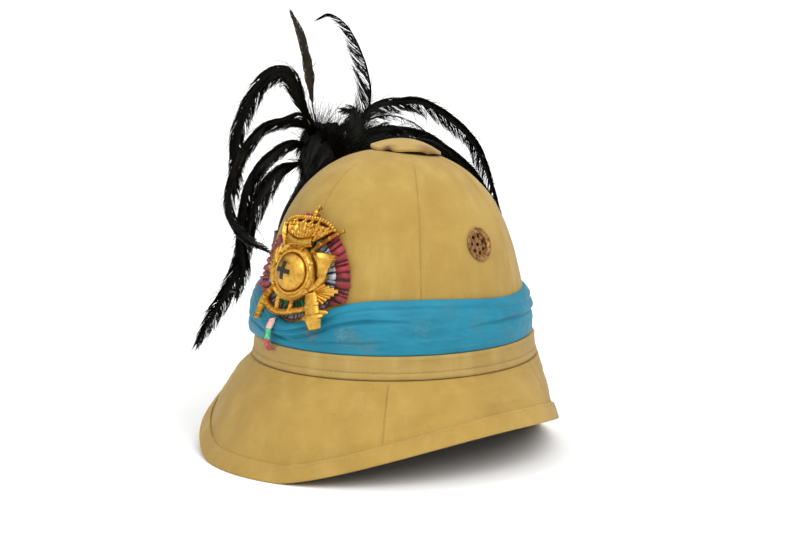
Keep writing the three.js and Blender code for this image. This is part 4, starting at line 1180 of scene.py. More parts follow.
# Barrels: left, above, radius and lift of the middle line
HORN_BELL = [(25.1, 2, 3.2, 4.2), (25.1, 5, 3.4, 4.4), (25.1, 8, 4.2, 4.6), (25.2, 11, 5.4, 5.0),
             (25.2, 14, 7.2, 5.4), (25.2, 16.6, 8.9, 5.7), (25.2, 17.3, 9.1, 5.8), (25.2, 16.9, 7.8, 5.8),
             (25.2, 13.5, 5.0, 5.4)]
CANNON = [(19.0, -10.6, 4.4, 2.0), (20.6, -13.6, 4.8, 3.2), (22.2, -16.7, 4.8, 5.0),
          (22.5, -17.4, 5.4, 5.1), (23.0, -18.8, 5.5, 5.4), (23.3, -19.6, 4.9, 5.5),
          (25.0, -24.2, 5.3, 6.2), (25.6, -25.7, 7.5, 6.6), (26.3, -27.2, 7.7, 6.9),
          (26.8, -28.7, 5.4, 7.2), (28.2, -32.2, 4.6, 7.5), (29.0, -34.4, 4.0, 7.6),
          (29.2, -35.0, 2.3, 7.6)]
GARLAND = [(-24, -26, 3.0, 2.8), (-19, -29.3, 3.4, 3.1), (-10, -31, 3.6, 3.2), (-1.2, -29.7, 3.6, 3.2),
           (12.6, -24.6, 3.4, 3.1), (19, -21, 3.2, 2.8)]


def badge_collar(shape, rows, share, wider):
    """A raised band across a bar, at a share of its length."""
    line = smooth_path(rows, 41)
    spot = line[int(round(share * 40))]
    step = unit(line[min(int(share * 40) + 1, 40), :2] - line[max(int(share * 40) - 1, 0), :2]) * 0.7
    badge_bar(shape, [(*(spot[:2] - step), spot[2] + wider, spot[3] * 1.2),
                      (*(spot[:2] + step), spot[2] + wider, spot[3] * 1.2)], steps=4)


def badge_hoop(shape):
    """The flat band round the boss, with a raised line along both of its edges."""
    inner, outer = BADGE["boss"] * 1.12, BADGE["coil"] + BADGE["tube"]
    share = np.array([0, 0, 0.08, 0.16, 0.26, 0.4, 0.6, 0.74, 0.84, 0.92, 1, 1])
    out = np.array([0, 3.6, 4.5, 4.2, 3.6, 3.4, 3.6, 3.9, 4.7, 5.0, 4.2, 0])
    angle = np.arange(160) / 160 * TAU
    reach = inner + (outer - inner) * share
    badge_grid(shape, np.cos(angle)[:, None] * reach[None, :], np.sin(angle)[:, None] * reach[None, :],
               np.ones((160, 1)) * out[None, :], close_rows=True, close_columns=True)


def badge_fan(shape, root, edge, ribs, height):
    """Ribs that spread from a root to an edge, as a furled flag is cast."""
    root, edge = np.asarray(root, dtype=float), np.asarray(edge, dtype=float)
    length = run_length(edge)
    wide = length[-1] / (ribs - 1)
    for rib in range(ribs):
        tip = sample(rib / (ribs - 1) * length[-1], length, edge)
        first, middle = root + (tip - root) * 0.08, root + (tip - root) * 0.55
        tall = height * (1.0 if rib % 2 else 0.86)
        rows = [(*first, 1.4, tall), (*middle, wide * 0.8, tall * 1.05), (*tip, wide * 1.15, tall * 0.7)]
        badge_bar(shape, rows, steps=10)


def badge_trophies(gilt):
    shape = Shape()
    plate, coil, tube = BADGE["plate"], BADGE["coil"], BADGE["tube"]
    badge_hoop(shape)
    for heading in (32, 75, 150, 182, 214, 330, 358):
        badge_wire(shape, coil, tube * 0.95, tube * 0.95, start=heading - 2.2, end=heading + 2.2, steps=6)
    badge_wire(shape, BADGE["boss"] * 1.07, 0.8, plate + 1.3, beads=56, swell=0.5, steps=336)
    badge_bar(shape, HORN_NECK, steps=30, flatness=0.8)
    badge_barrel(shape, HORN_BELL, rise=0.66, sides=28, lean=0.55)
    for share in (0.2, 0.55, 0.95):
        badge_collar(shape, HORN_NECK, share, 1.0)
    for rows in MUSKETS:
        badge_bar(shape, rows, ridge=0.35, steps=36)
        for share in (0.2, 0.42, 0.64, 0.86, 0.98):
            badge_collar(shape, rows, share, 0.9)
    badge_barrel(shape, CANNON, rise=0.62, steps=110)
    badge_barrel(shape, [(24, -22.6, 1.7, 5.6), (33, -21.5, 1.6, 6.0), (35, -21.4, 0.6, 6.0)], sides=10)
    badge_fan(shape, (20.5, -9.5), [(24.5, -1.6), (38, -5.2), (28.5, -16.5)], 9, plate * 1.2)
    badge_fan(shape, (-16.5, 2), [(-22, 14), (-27.5, 9), (-28.5, -3), (-23, -9)], 8, plate * 1.5)
    # Garland: a ribbon with raised edges below the boss, tied to the coil by two struts
    badge_bar(shape, [(x, y, wide * 1.25, tall) for x, y, wide, tall in GARLAND], steps=44, flatness=0.35)
    for side in (-1, 1):
        edge = [(x, y + side * 2.0, 1.1, z * 1.2) for x, y, _, z in GARLAND]
        badge_bar(shape, edge, steps=44)
    for x, y, _, _ in smooth_path(GARLAND, 12):
        badge_bead(shape, x, y, 1.0, plate)
    for rows in ([(-8, -16, 3.2, plate), (-8.4, -23, 2.4, plate * 1.1), (-8.5, -30, 3, plate)],
                 [(5, -17, 3.2, plate), (4.6, -22.5, 2.4, plate * 1.1), (4, -28, 3, plate)]):
        badge_bar(shape, rows, ridge=0.3)
        badge_collar(shape, rows, 0.5, 1.4)
    return shape.build("badge_trophies", [gilt], sharp=45)


# Arch over the top of the badge's crown, and the ribs that carry it: left, above
ARCH = [(-22.5, 29.5), (-21.6, 32.6), (-16, 35.4), (-10.3, 36.8), (3.4, 38.8), (12.8, 39), (20.4, 37.4),
        (26, 34.4)]
ARCH_RIBS = [(-13, 36), (-3, 38), (4.2, 39), (10.5, 39), (21, 37.4)]
ORB = (4.2, 42.4)


def crest_body(across, up):
    """A point of the crown's body: across from -1 to 1 and up from its circlet to its top."""
    low_x, low_y = -2.0 + 12.5 * across, 22.6 + 0.9 * across
    top_x, top_y = 1.6 + 25.5 * across, 33.6 + 1.9 * across + 2.4 * (1 - across**2)
    return low_x + (top_x - low_x) * up, low_y + (top_y - low_y) * up


def badge_crown(gilt):
    shape = Shape()
    plate = BADGE["plate"]
    # Body: rows of raised scales, fanning out towards the top
    across, up = np.meshgrid(np.linspace(-1, 1, 110), np.linspace(0, 1, 36), indexing="ij")
    row = np.floor(up * 3.999)
    inside = up * 4 - row
    beside = (across * 5.5 + 0.5 * (row % 2)) % 1 - 0.5
    scale = np.sqrt(np.clip(1 - (2 * beside) ** 2 - (inside - 0.15) ** 2 * 0.9, 0, 1))
    out = 1.7 + 1.5 * scale * (0.75 + 0.25 * inside)
    for inward in (1 - np.abs(across), up, 1 - up):
        out = out * np.clip(inward / 0.04, 0, 1)
    left, above = (np.concatenate([flat, flat[:, ::-1]], axis=1) for flat in crest_body(across, up))
    badge_grid(shape, left, above, np.concatenate([out, 0 * out], axis=1), close_columns=True, caps=True)
    # Circlet: a broad smooth band between fine lines
    circlet = smooth_path([(-15, 22.4), (-7, 20.6), (1, 20.9), (10.5, 24.0)], 24)
    badge_bar(shape, [(x, y, 7.4, plate * 1.4) for x, y in circlet], steps=40, flatness=0.35)
    for lift in (-3.4, -1.9, 2.6, 3.6):
        badge_bar(shape, [(x, y + lift, 1.0, plate * 1.62) for x, y in circlet], steps=40)
    # Leaves standing on the body, and pearls between them
    for number in range(5):
        place = -0.84 + 0.42 * number
        x, y = crest_body(place, 0.25)
        heading = 90 - 42 * place
        badge_leaf(shape, x, y, 8.4, 3.6, heading, plate * 1.15, 0.3)
        for turn in (-30, 30):
            badge_leaf(shape, x, y + 1.0, 6.0, 2.2, heading + turn, plate * 1.1, 0.3)
    for number in range(4):
        x, y = crest_body(-0.63 + 0.42 * number, 0.86)
        badge_bead(shape, x, y, 1.2, plate)
    # Arch, its ribs and the beads along them
    badge_bar(shape, [(x, y, 2.6, plate) for x, y in ARCH], steps=60, flatness=0.8)
    for x, y in smooth_path(ARCH, 21):
        badge_bead(shape, x, y + 0.4, 1.25, plate * 0.95)
    for x, y in ARCH_RIBS:
        badge_bar(shape, [(x - 1, 31.5, 2.8, plate * 1.1), (x, y, 2.6, plate * 1.1)], steps=8)
        badge_bead(shape, x - 0.5, (31.5 + y) / 2, 1.1, plate * 1.15)
    # Orb and its small cross
    x, y = ORB
    badge_bead(shape, x, y, 2.5, 2.3)
    badge_bar(shape, [(x - 2.6, y, 0.8, 4.4), (x, y - 0.5, 0.8, 5.0), (x + 2.6, y, 0.8, 4.4)], steps=10)
    badge_bar(shape, [(x, y + 2.0, 1.3, 2.6), (x, y + 5.6, 1.9, 2.4)], steps=10)
    arms = [(x - 2.1, y + 3.9, 1.7, 2.4), (x, y + 3.9, 1.1, 2.6), (x + 2.1, y + 3.9, 1.7, 2.4)]
    badge_bar(shape, arms, steps=12)
    return shape.build("badge_crown", [gilt], sharp=45)


# Ribbon loop

# Left of the badge's centre, height above the crown's foot, and distance off the crown
LOOP_PATH = [(-17.6, 36.4, 5.2), (-16.4, 33.2, 7.4), (-15.7, 28.8, 9.0), (-15.7, 23.9, 9.6),
             (-15.5, 19.4, 9.6), (-14.6, 15.4, 8.6), (-13.7, 13.0, 5.6)]
LOOP_WIDTH = 5.4
LOOP_STEPS = 60
LOOP_COLUMNS = 13


def make_loop(materials):
    """A strip of ribbon that comes out under the cockade and is tucked over the sash."""
    path = smooth_path(LOOP_PATH, LOOP_STEPS)
    along = unit(np.gradient(path[:, :2], axis=0))
    side = np.linspace(-1, 1, LOOP_COLUMNS)
    reach = CROWN["width"] / 2 * crown_size(BADGE["rise"] / CROWN["height"])
    rows = []
    for face, order in ((1.2, side), (0.0, side[::-1])):
        wide = LOOP_WIDTH / 2 * (1 + 0.7 * bell(np.linspace(0, 1, LOOP_STEPS)[:, None] - 0.04, 0.14))
        across = order[None, :] * wide
        turn = math.radians(BADGE["turn"]) + (path[:, :1] - along[:, 1:2] * across) / reach
        rise = path[:, 1:2] + along[:, :1] * across
        curl = 0.5 * np.cos(order[None, :] * math.pi) + 0.35 * np.sin(path[:, 1:2] * 0.7 + order[None, :])
        rows.append(crown_point(turn, rise, path[:, 2:3] + face + curl))
    shape = Shape()
    share = np.linspace(0, 1, LOOP_STEPS - 1)
    shape.grid(np.concatenate(rows, axis=1), close_columns=True, caps=True)
    piece = shape.build("ribbon_loop_silk", materials)
    # The three colours, one after the other along the ribbon
    colours = np.repeat(np.where(share < 0.3, 0, np.where(share < 0.62, 1, 2)), LOOP_COLUMNS * 2)
    slots = np.zeros(len(piece.data.polygons), dtype=np.int32)
    slots[:len(colours)] = colours
    piece.data.polygons.foreach_set("material_index", slots)
    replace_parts(piece, "ribbon_loop")
    return piece


# Ventilators


def lathe(shape, outline, frame_of, steps, slot=0, wobble=None):
    """Turns an outline of radius and height round an axis. frame_of is across, other, axis and centre."""
    across, other, axis, centre = frame_of
    outline = np.asarray(outline, dtype=float)
    angle = np.arange(steps) / steps * TAU
    away = np.cos(angle)[:, None, None] * across + np.sin(angle)[:, None, None] * other
    lift = outline[None, :, 1] + (wobble(angle[:, None], outline[None, :, 0]) if wobble else 0)
    points = centre + away * outline[None, :, :1] + axis * lift[..., None]
    shape.grid(points, close_rows=True, close_columns=True, slot=slot)
    return shape


def round_cap_outline():
    """The cap: a padded dome whose cloth is turned under at the rim, and the collar below it."""
    radius, rim, cloth, dome = CAP["radius"], CAP["rim"], CAP["cloth"], CAP["dome"]
    collar, inner = CAP["collar"], CAP["collar"] - CAP["wall"]
    def underside(out):
        return rim + (dome - cloth) * (1 - (out / radius) ** 2)
    share = np.linspace(0.02, 0.97, 26)
    top = [(radius * s, underside(radius * s) + cloth) for s in share]
    edge = [(radius + 0.6 * math.sin(a), rim + cloth / 2 + cloth / 2 * math.cos(a))
            for a in np.linspace(0.3, math.pi - 0.3, 9)]
    under = [(radius * s, underside(radius * s)) for s in (0.95, 0.8, 0.65, 0.5)]
    foot = [(collar, underside(collar)), (collar, -CAP["depth"]), (inner, -CAP["depth"]),
            (inner, underside(inner)), (0.3, underside(0))]
    return top + edge + under + foot


def make_cap(cloth):
    centre, rear, up = cap_frame()
    def wobble(angle, radius):
        outer = np.clip(radius / CAP["radius"], 0, 1.05) ** 3
        uneven = 0.8 * np.sin(2 * angle + 0.6) + 0.45 * np.sin(3 * angle + 2) + 0.25 * np.sin(7 * angle)
        # The rim stands open in front of the window nearest the viewer, most of all at one notch
        facing = np.degrees(angle) - 360
        open_rim = 1.5 * np.clip((facing + 78) / 8, 0, 1) * np.clip((-8 - facing) / 8, 0, 1)
        notch = 2.6 * bell(facing + 76, 6)
        return outer * uneven + outer**4 * (open_rim + notch)
    frame_of = (np.array([1.0, 0, 0]), rear, up, centre)
    shape = lathe(Shape(), round_cap_outline(), frame_of, 120, wobble=wobble)
    piece = shape.build("cap_cloth", [cloth], sharp=60)
    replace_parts(piece, "ventilator_cap")
    return piece


def make_side_vent(name, side, brass):
    turn = side * math.radians(VENT["turn"])
    across, up, outward, centre = crown_frame(turn, VENT["rise"], GAP)
    tube, inner, flange = VENT["tube"], VENT["tube"] - 1.6, VENT["flange"]
    recess, lip, plate = VENT["recess"], VENT["lip"], 1.2
    rim = [(flange - 0.5 + 0.5 * math.cos(a), 0.5 + 0.5 * math.sin(a)) for a in np.linspace(-1.2, 1.2, 6)]
    middle = (flange + inner) / 2 + 0.9
    roll = [(middle + 1.4 * math.cos(a), lip - 0.6 + 0.75 * math.sin(a)) for a in np.linspace(0.5, 2.7, 8)]
    back = [(0.3, -recess - plate), (inner, -recess - plate), (inner, -7.0), (tube, -7.0), (tube, 0.0)]
    outline = back + rim + roll + [(inner, 0.2), (inner, -recess), (0.3, -recess)]
    shape = lathe(Shape(), outline, (across, up, outward, centre), 72)
    piece = shape.build(name + "_brass", [brass], sharp=50)
    tools = []
    for number in range(VENT["holes"] + 1):
        angle = number / VENT["holes"] * TAU + 0.3
        out = 0.0 if number == VENT["holes"] else VENT["circle"]
        place = centre + out * (math.cos(angle) * across + math.sin(angle) * up) - outward * recess
        tools.append(cylinder("vent_hole", VENT["hole"], 8, place, outward, 20))
    drill(piece, tools)
    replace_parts(piece, name)
    return piece


# Plume


def socket_frame():
    return crown_frame(math.radians(SOCKET["turn"]), SOCKET_RISE, GAP)


def make_socket(leather):
    across, up, outward, centre = socket_frame()
    radius, wall, height = SOCKET["radius"], SOCKET["wall"], SOCKET["height"]
    bottom, top = -height / 2, height / 2
    cup = [(0.2, bottom), (radius - 1, bottom), (radius, bottom + 1), (radius, -1), (radius + 0.5, -0.6),
           (radius + 0.5, 0.6), (radius, 1), (radius, top - 1.6), (radius + 0.4, top - 1.2),
           (radius + 0.4, top - 0.3), (radius - 0.3, top), (radius - wall, top - 0.4),
           (radius - wall, bottom + wall), (0.2, bottom + wall)]
    tube = lathe(Shape(), cup, (across, outward, up, centre + outward * SOCKET["stand_off"]), 48)
    foot, wide = SOCKET["foot"], SOCKET["foot_radius"]
    disc = [(0.2, 0), (wide - 0.4, 0), (wide, 0.4), (wide, foot - 0.6), (wide - 0.6, foot), (0.2, foot)]
    lathe(tube, disc, (across, up, outward, centre), 48)
    piece = tube.build("socket_leather", [leather], sharp=50)
    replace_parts(piece, "plume_socket")
    return piece


# Feathers that rise, arch back and hang in front, as points in millimetres.
# Columns: out from the crown's middle on the wearer's right, towards the rear, above the crown's foot
FEATHERS = {
    "tall": [(86, 0, 143), (100, 0, 180), (106, 0, 209), (113, 0, 233), (122, 0, 249), (129, 0, 259)],
    "curled": [(80, 22, 156), (72, 32, 181), (71, 35, 197), (77, 35, 218), (87, 34, 236), (97, 32, 249),
               (108, 30, 256), (115, 27, 258), (123, 25, 254)],
    "high_back": [(80, 20, 160), (80, 45, 183), (82, 80, 187), (76, 110, 183), (66, 155, 150),
                  (54, 175, 93)],
    "low_back": [(78, 15, 152), (74, 40, 164), (72, 72, 164), (66, 100, 157), (43, 125, 132),
                 (25, 140, 101)],
    "broad_front": [(76, -10, 158), (66, -40, 186), (63, -62, 217), (74, -80, 208), (84, -95, 169),
                    (78, -100, 124)],
    "middle_front": [(74, -12, 156), (65, -45, 177), (69, -80, 175), (71, -102, 152), (71, -114, 124),
                     (59, -120, 106), (35, -126, 96), (3, -132, 92)],
    "inner_front": [(74, -14, 150), (62, -55, 162), (56, -90, 151), (58, -103, 134), (58, -110, 113),
                    (55, -115, 90), (48, -118, 69), (53, -120, 49)],
    "low_front": [(72, -16, 144), (62, -68, 142), (58, -100, 112), (55, -118, 70), (69, -126, 39),
                  (86, -131, 9)],
    "fill_middle": [(62, 0, 145), (68, 35, 156), (59, 70, 155), (54, 100, 147), (48, 125, 120),
                    (41, 135, 95)],
    "wisp_front": [(62, -45, 181), (62, -65, 181), (69, -82, 174), (70, -95, 162), (72, -102, 140)],
    "wisp_back": [(80, 20, 156), (79, 40, 172), (76, 62, 176), (72, 84, 170), (68, 100, 160)],
    "fill_low": [(63, -5, 141), (58, 15, 151), (53, 45, 155), (47, 75, 148), (42, 100, 130),
                 (41, 118, 102)],
    "fill_tuft": [(62, 0, 135), (62, 6, 157), (65, 14, 172), (76, 20, 181), (86, 18, 182)],
    "fill_right": [(67, 5, 140), (68, 20, 154), (69, 36, 163), (65, 50, 166), (61, 62, 164)],
    "fill_left": [(80, 0, 139), (86, -8, 158), (83, -18, 166), (79, -28, 153), (74, -34, 133)],
    "fill_front": [(63, -10, 145), (63, -25, 164), (58, -40, 156), (53, -49, 140)],
    "fill_inner": [(63, -5, 141), (62, -15, 158), (57, -30, 151), (54, -42, 138)],
}
# How each feather is dressed, in the order of the unpacking in feather()
DRESS = {
    "tall": (380, 3.8, 3.8, 15, 0.0, 0.4, 0.85, 0.45),
    "curled": (320, 11.5, 0.6, 30, 0.0, 0.1, 0.06, 1.0),
    "high_back": (600, 3.2, 10.5, 32, 0.15, 0.1, 0.42, 0.3),
    "low_back": (520, 3.6, 7.0, 30, 0.25, 0.1, 0.8, 0.45),
    "broad_front": (640, 8.5, 5.5, 28, 0.1, 0.2, 0.62, 0.15),
    "middle_front": (560, 6.0, 3.2, 28, 0.15, 0.12, 0.6, 0.2),
    "inner_front": (600, 6.5, 3.6, 30, 0.15, 0.12, 0.5, 0.15),
    "low_front": (720, 8.5, 6.0, 32, 0.1, 0.15, 0.45, 0.2),
    "wisp_front": (240, 3.4, 1.6, 24, 0.1, 0.1, 0.4, 0.45),
    "wisp_back": (70, 1.2, 4.0, 20, 0.1, 0.1, 0.1, 0.45),
    "fill_middle": (400, 6.0, 6.0, 30, 0.3, 0.08, 0.9, 0.45),
    "fill_low": (400, 8.0, 8.0, 30, 0.3, 0.08, 0.9, 0.45),
    "fill_tuft": (300, 11.0, 11.0, 20, 0.2, 0.05, 0.8, 0.45),
    "fill_right": (300, 9.0, 9.0, 22, 0.2, 0.05, 0.9, 0.45),
    "fill_left": (300, 8.0, 8.0, 20, 0.2, 0.05, 0.9, 0.45),
    "fill_front": (280, 9.0, 9.0, 22, 0.3, 0.05, 0.9, 0.45),
    "fill_inner": (280, 9.0, 9.0, 22, 0.3, 0.05, 0.9, 0.45),
}


# The feathers on the wearer's right: how many, how far they go out, up and down, and their headings
HIDDEN = dict(feathers=6, reach=72, climb=25, droop=115, first=206, span=58)
HIDDEN_DRESS = (180, 6.0, 6.0, 26, 0.3, 0.1, 0.8, 0.45)


def stem_path():
    """From inside the socket up to where the feathers spread."""
    _, up, outward, centre = socket_frame()
    base = centre + outward * SOCKET["stand_off"]
    root = base + up * (SOCKET["wall"] + GAP - SOCKET["height"] / 2)
    mouth = base + up * (SOCKET["height"] / 2 + 1)
    share = np.linspace(0, 1, 40)[:, None]
    first, second = mouth + up * 30, SPREAD - up * 20
    curve = (mouth * (1 - share) ** 3 + 3 * first * share * (1 - share) ** 2
             + 3 * second * share**2 * (1 - share) + SPREAD * share**3)
    return np.vstack([root, curve])


def strands(shape, lines, thick, sides=3):
    """Thin tubes along many lines at once, (strands, points, 3), tapering to their tips."""
    grow = unit(np.gradient(lines, axis=1))
    first = unit(np.cross(grow, np.array([0.31, 0.55, 0.77])))
    second = np.cross(grow, first)
    share = np.linspace(0, 1, lines.shape[1])
    radius = (thick * (1 - 0.8 * share**1.5))[None, :, None, None]
    corner = (np.arange(sides) / sides * TAU)[None, None, :, None]
    away = np.cos(corner) * first[:, :, None] + np.sin(corner) * second[:, :, None]
    shape.tubes(lines[:, :, None] + radius * away)


# The way that the vanes turn their backs
VANE_FACING = np.array([-0.8, 0.6, 0.0])
# Points along a feather, round its quill, across its vane and along a barb, and a barb's thickness
FEATHER_STEPS = 72
QUILL_SIDES = 5
VANE_COLUMNS = 7
BARB_STEPS = 5
BARB_THICK = 0.27


def feather(shape, points, dress, seed):
    """A quill, a thin cupped vane along it, and long barbs that lie almost along the quill."""
    barbs, spread_over, spread_under, barb, sag, bare, fill, narrowing = dress
    dice = np.random.default_rng(seed)
    path = smooth_path(points, FEATHER_STEPS)
    along = tangents(path)
    side = unit(np.cross(along, VANE_FACING))
    face = np.cross(side, along)
    share = np.linspace(0, 1, FEATHER_STEPS)
    length = np.linalg.norm(np.diff(path, axis=0), axis=1).sum()
    # Quill
    around = (np.arange(QUILL_SIDES) / QUILL_SIDES * TAU)[None, :, None]
    radius = (0.85 * (1 - 0.8 * share))[:, None, None]
    away = np.cos(around) * side[:, None] + np.sin(around) * face[:, None]
    shape.tubes((path[:, None] + radius * away)[None])
    # Vane, wider to one side of the quill than to the other
    def profile(where):
        inside = np.clip((where - bare) / (1 - bare), 0, 1)
        tip = np.clip((1.02 - inside) * max(6.5 - 7 * narrowing, 2.5), 0, 1) ** 0.8
        return np.clip(inside * 6, 0, 1) ** 0.7 * tip * (1 + narrowing * (0.3 - inside))
    along_quill = share * length
    ragged = 1 + 0.1 * np.sin(along_quill / 2.3 + 3 * np.sin(along_quill / 9))
    ragged = ragged + 0.06 * np.sin(along_quill / 0.9)
    across = np.linspace(-1, 1, VANE_COLUMNS)
    spread = np.where(across > 0, spread_over, spread_under)[None, :]
    half = np.maximum(fill * 0.75 * spread * (profile(share) * ragged)[:, None], 0.3) * across[None, :]
    rows = []
    for lift, order in ((0.12, slice(None)), (-0.12, slice(None, None, -1))):
        rows.append(path[:, None] + side[:, None] * half[:, order, None]
                    + face[:, None] * (lift - 0.035 * half[:, order] ** 2)[..., None])
    shape.grid(np.concatenate(rows, axis=1), close_columns=True, caps=True)
    # Barbs, each following the quill for its own length
    tail = path[-1] + along[-1] * barb
    run = np.concatenate([along_quill, [length + barb]])
    fields = np.vstack([path, tail]), np.vstack([side, side[-1:]]), np.vstack([face, face[-1:]])
    step = np.linspace(0, 1, BARB_STEPS)[None, :]
    for hand, widest in ((1, spread_over), (-1, spread_under)):
        where = np.sort(bare + (1 - bare) * dice.uniform(0, 1, barbs))
        reach = barb * dice.uniform(0.6, 1.15, barbs) * (1 - 0.75 * where**2)
        # Barbs cling together in locks, with slits between them
        lock = np.sin(where * length / 3.1 + 2.5 * np.sin(where * length / 11) + hand)
        away = widest * profile(where) * (0.86 + 0.14 * lock + dice.uniform(-0.06, 0.06, barbs)) + 0.3
        stray = dice.uniform(0, 1, barbs) > 0.97
        away = np.where(stray, away * 1.5 + 1.5, away)
        place = where[:, None] * length + reach[:, None] * step * np.where(stray, 0.7, 1.0)[:, None]
        base, beside, front = (sample(place, run, field) for field in fields)
        out = (hand * away[:, None] * (1 - (1 - step) ** 1.6))[..., None]
        splay = (dice.normal(0, 0.05, barbs)[:, None] * reach[:, None] * step**1.3)[..., None]
        fall = sag * dice.uniform(0.3, 1.3, barbs)[:, None] * away[:, None] * step**2
        hang = np.array([0, 0, -1.0]) * fall[..., None]
        strands(shape, base + beside * out + front * splay + hang, BARB_THICK)


def hidden_points(share):
    """A feather on the wearer's right that arches over and hangs down."""
    heading = math.radians(HIDDEN["first"] + HIDDEN["span"] * share)
    away = np.array([math.cos(heading), -math.sin(heading), 0.0])
    length = HIDDEN["reach"] * (0.8 + 0.25 * math.sin(share * math.pi * 3))
    climb, droop = HIDDEN["climb"], HIDDEN["droop"]
    rows = [(0.35, climb * 0.8), (0.7, climb * 0.6), (0.95, -droop * 0.25), (1.0, -droop)]
    return [SPREAD + away * reach * length + np.array([0, 0, lift]) for reach, lift in rows]


def finish_plume(shape, name, black):
    piece = shape.build(name, [black], sharp=80, turn_out=False)
    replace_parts(piece, "plume")
    return piece


PLUME_GROUPS = {"plume_tall": ["tall"], "plume_risers": ["curled", "fill_front", "fill_tuft"],
                "plume_back": ["high_back", "low_back", "wisp_back"],
                "plume_fill": ["fill_middle", "fill_low", "fill_right"],
                "plume_front": ["broad_front", "middle_front"], "plume_low": ["inner_front", "low_front"],
                "plume_near": ["fill_inner", "fill_left", "wisp_front"]}


def make_plume(black, brown):
    start = stem_path()[-6]
    seed = 100
    for name, members in PLUME_GROUPS.items():
        shape = Shape()
        for member in members:
            places = [np.array([-out, rear, CROWN["foot"] + above]) for out, rear, above in FEATHERS[member]]
            feather(shape, [start, *places], DRESS[member], seed)
            seed += 1
        finish_plume(shape, name, brown if name == "plume_tall" else black)
    shape = Shape()
    for number in range(HIDDEN["feathers"]):
        points = [start, *hidden_points(number / (HIDDEN["feathers"] - 1))]
        feather(shape, points, HIDDEN_DRESS, seed + number)
    finish_plume(shape, "plume_side", black)
    make_stem(black)


# Down on the stem, short and dense below, and longer and looser where the feathers spread. Columns: count,
# first and last share of the stem, shortest and longest, curl, thickness, climb along the stem, and droop
DOWN = [(1000, 0.3, 1, 12, 26, 0.3, 0.3, 1.0, 0.5), (900, 0.84, 1, 32, 60, 0.42, 0.2, 2.6, 0.3)]


def make_stem(black):
    """The bound stem, with a tuft of soft down where the feathers spread."""
    path = stem_path()
    along = tangents(path)
    side = unit(np.cross([1.0, 0, 0], along))
    other = np.cross(along, side)
    share = np.linspace(0, 1, len(path))
    neck = SOCKET["radius"] - SOCKET["wall"] - GAP * 2
    radius = np.interp(share, [0, 0.04, 0.35, 0.7, 0.92, 1], [neck, neck, 5.5, 9, 11, 6])
    around = np.arange(24) / 24 * TAU
    ridges = 1 + 0.06 * np.cos(around * 8)[None, :] * np.clip(share * 4, 0, 1)[:, None]
    ring = path[:, None] + (radius[:, None] * ridges)[..., None] * (
        np.cos(around)[None, :, None] * side[:, None] + np.sin(around)[None, :, None] * other[:, None])
    shape = Shape()
    shape.grid(ring, close_columns=True, caps=True)
    dice = np.random.default_rng(500)
    for count, low, high, shortest, longest, curl, thick, climb, drop in DOWN:
        where = dice.uniform(low, high, count)
        spot = np.clip((where * (len(path) - 1)).astype(int), 0, len(path) - 2)
        angle = dice.uniform(0, TAU, count)[:, None]
        away = np.cos(angle) * side[spot] + np.sin(angle) * other[spot]
        start = path[spot] + away * radius[spot][:, None] * 0.8
        short_below = np.clip((where - 0.45) / 0.4, 0.2, 1)
        length = (dice.uniform(shortest, longest, count) * short_below)[:, None, None]
        steps = np.linspace(0, 1, BARB_STEPS)[None, :, None]
        twist = unit(dice.normal(0, 1, (count, 3)))[:, None]
        aim = unit(away + along[spot] * dice.uniform(0.4, 1.6, count)[:, None] * climb)[:, None]
        fall = np.array([0, 0, -drop]) * length * steps**2.5
        curled = twist * length * curl * steps**2
        strands(shape, start[:, None] + aim * length * steps + curled + fall, thick)
    finish_plume(shape, "plume_stem", black)


# Camera, floor and light

VIEW = dict(azimuth=45.0, elevation=9.5, roll=1.3, distance=1600.0, lens=92.0, aside=1.8, height=138.8)
# Name, azimuth and elevation in degrees, strength and width in degrees of each light
LIGHTS = [("key", 75, 48, 1.5, 50), ("fill", 5, 30, 0.5, 70)]
FLOOR_REACH = 30.0


def direction(azimuth, elevation):
    """Away from the helmet, in degrees round from its front towards the wearer's left, and up."""
    a, e = math.radians(azimuth), math.radians(elevation)
    return Vector((math.sin(a) * math.cos(e), -math.cos(a) * math.cos(e), math.sin(e)))


def make_camera():
    azimuth = math.radians(VIEW["azimuth"])
    back = direction(VIEW["azimuth"], VIEW["elevation"])
    target = np.array([VIEW["aside"] * math.cos(azimuth), VIEW["aside"] * math.sin(azimuth), VIEW["height"]])
    data = bpy.data.cameras.new("camera")
    data.lens = VIEW["lens"]
    data.sensor_width = 36.0
    data.clip_end = 100.0
    camera = bpy.data.objects.new("camera", data)
    camera.location = Vector((target + HAT) * MM) + back * VIEW["distance"] * MM
    turn = (-back).to_track_quat("-Z", "Y").to_matrix().to_4x4()
    camera.rotation_euler = (turn @ Matrix.Rotation(math.radians(VIEW["roll"]), 4, "Z")).to_euler()
    bpy.context.scene.collection.objects.link(camera)
    bpy.context.scene.camera = camera


def make_floor():
    finish = Finish("floor_white", Roughness=0.9)
    grain = finish.noise(finish.place(), 3.0, 2.0)
    finish.colour(finish.mix(grain, (0.9, 0.9, 0.9, 1), (0.93, 0.93, 0.93, 1)))
    finish.surface.inputs["Specular IOR Level"].default_value = 0.0
    mesh = bpy.data.meshes.new("floor")
    corners = [(x * FLOOR_REACH, y * FLOOR_REACH, 0) for x, y in ((-1, -1), (1, -1), (1, 1), (-1, 1))]
    mesh.from_pydata(corners, [], [(0, 1, 2, 3)])
    mesh.materials.append(finish.material)
    floor = bpy.data.objects.new("floor", mesh)
    bpy.context.scene.collection.objects.link(floor)


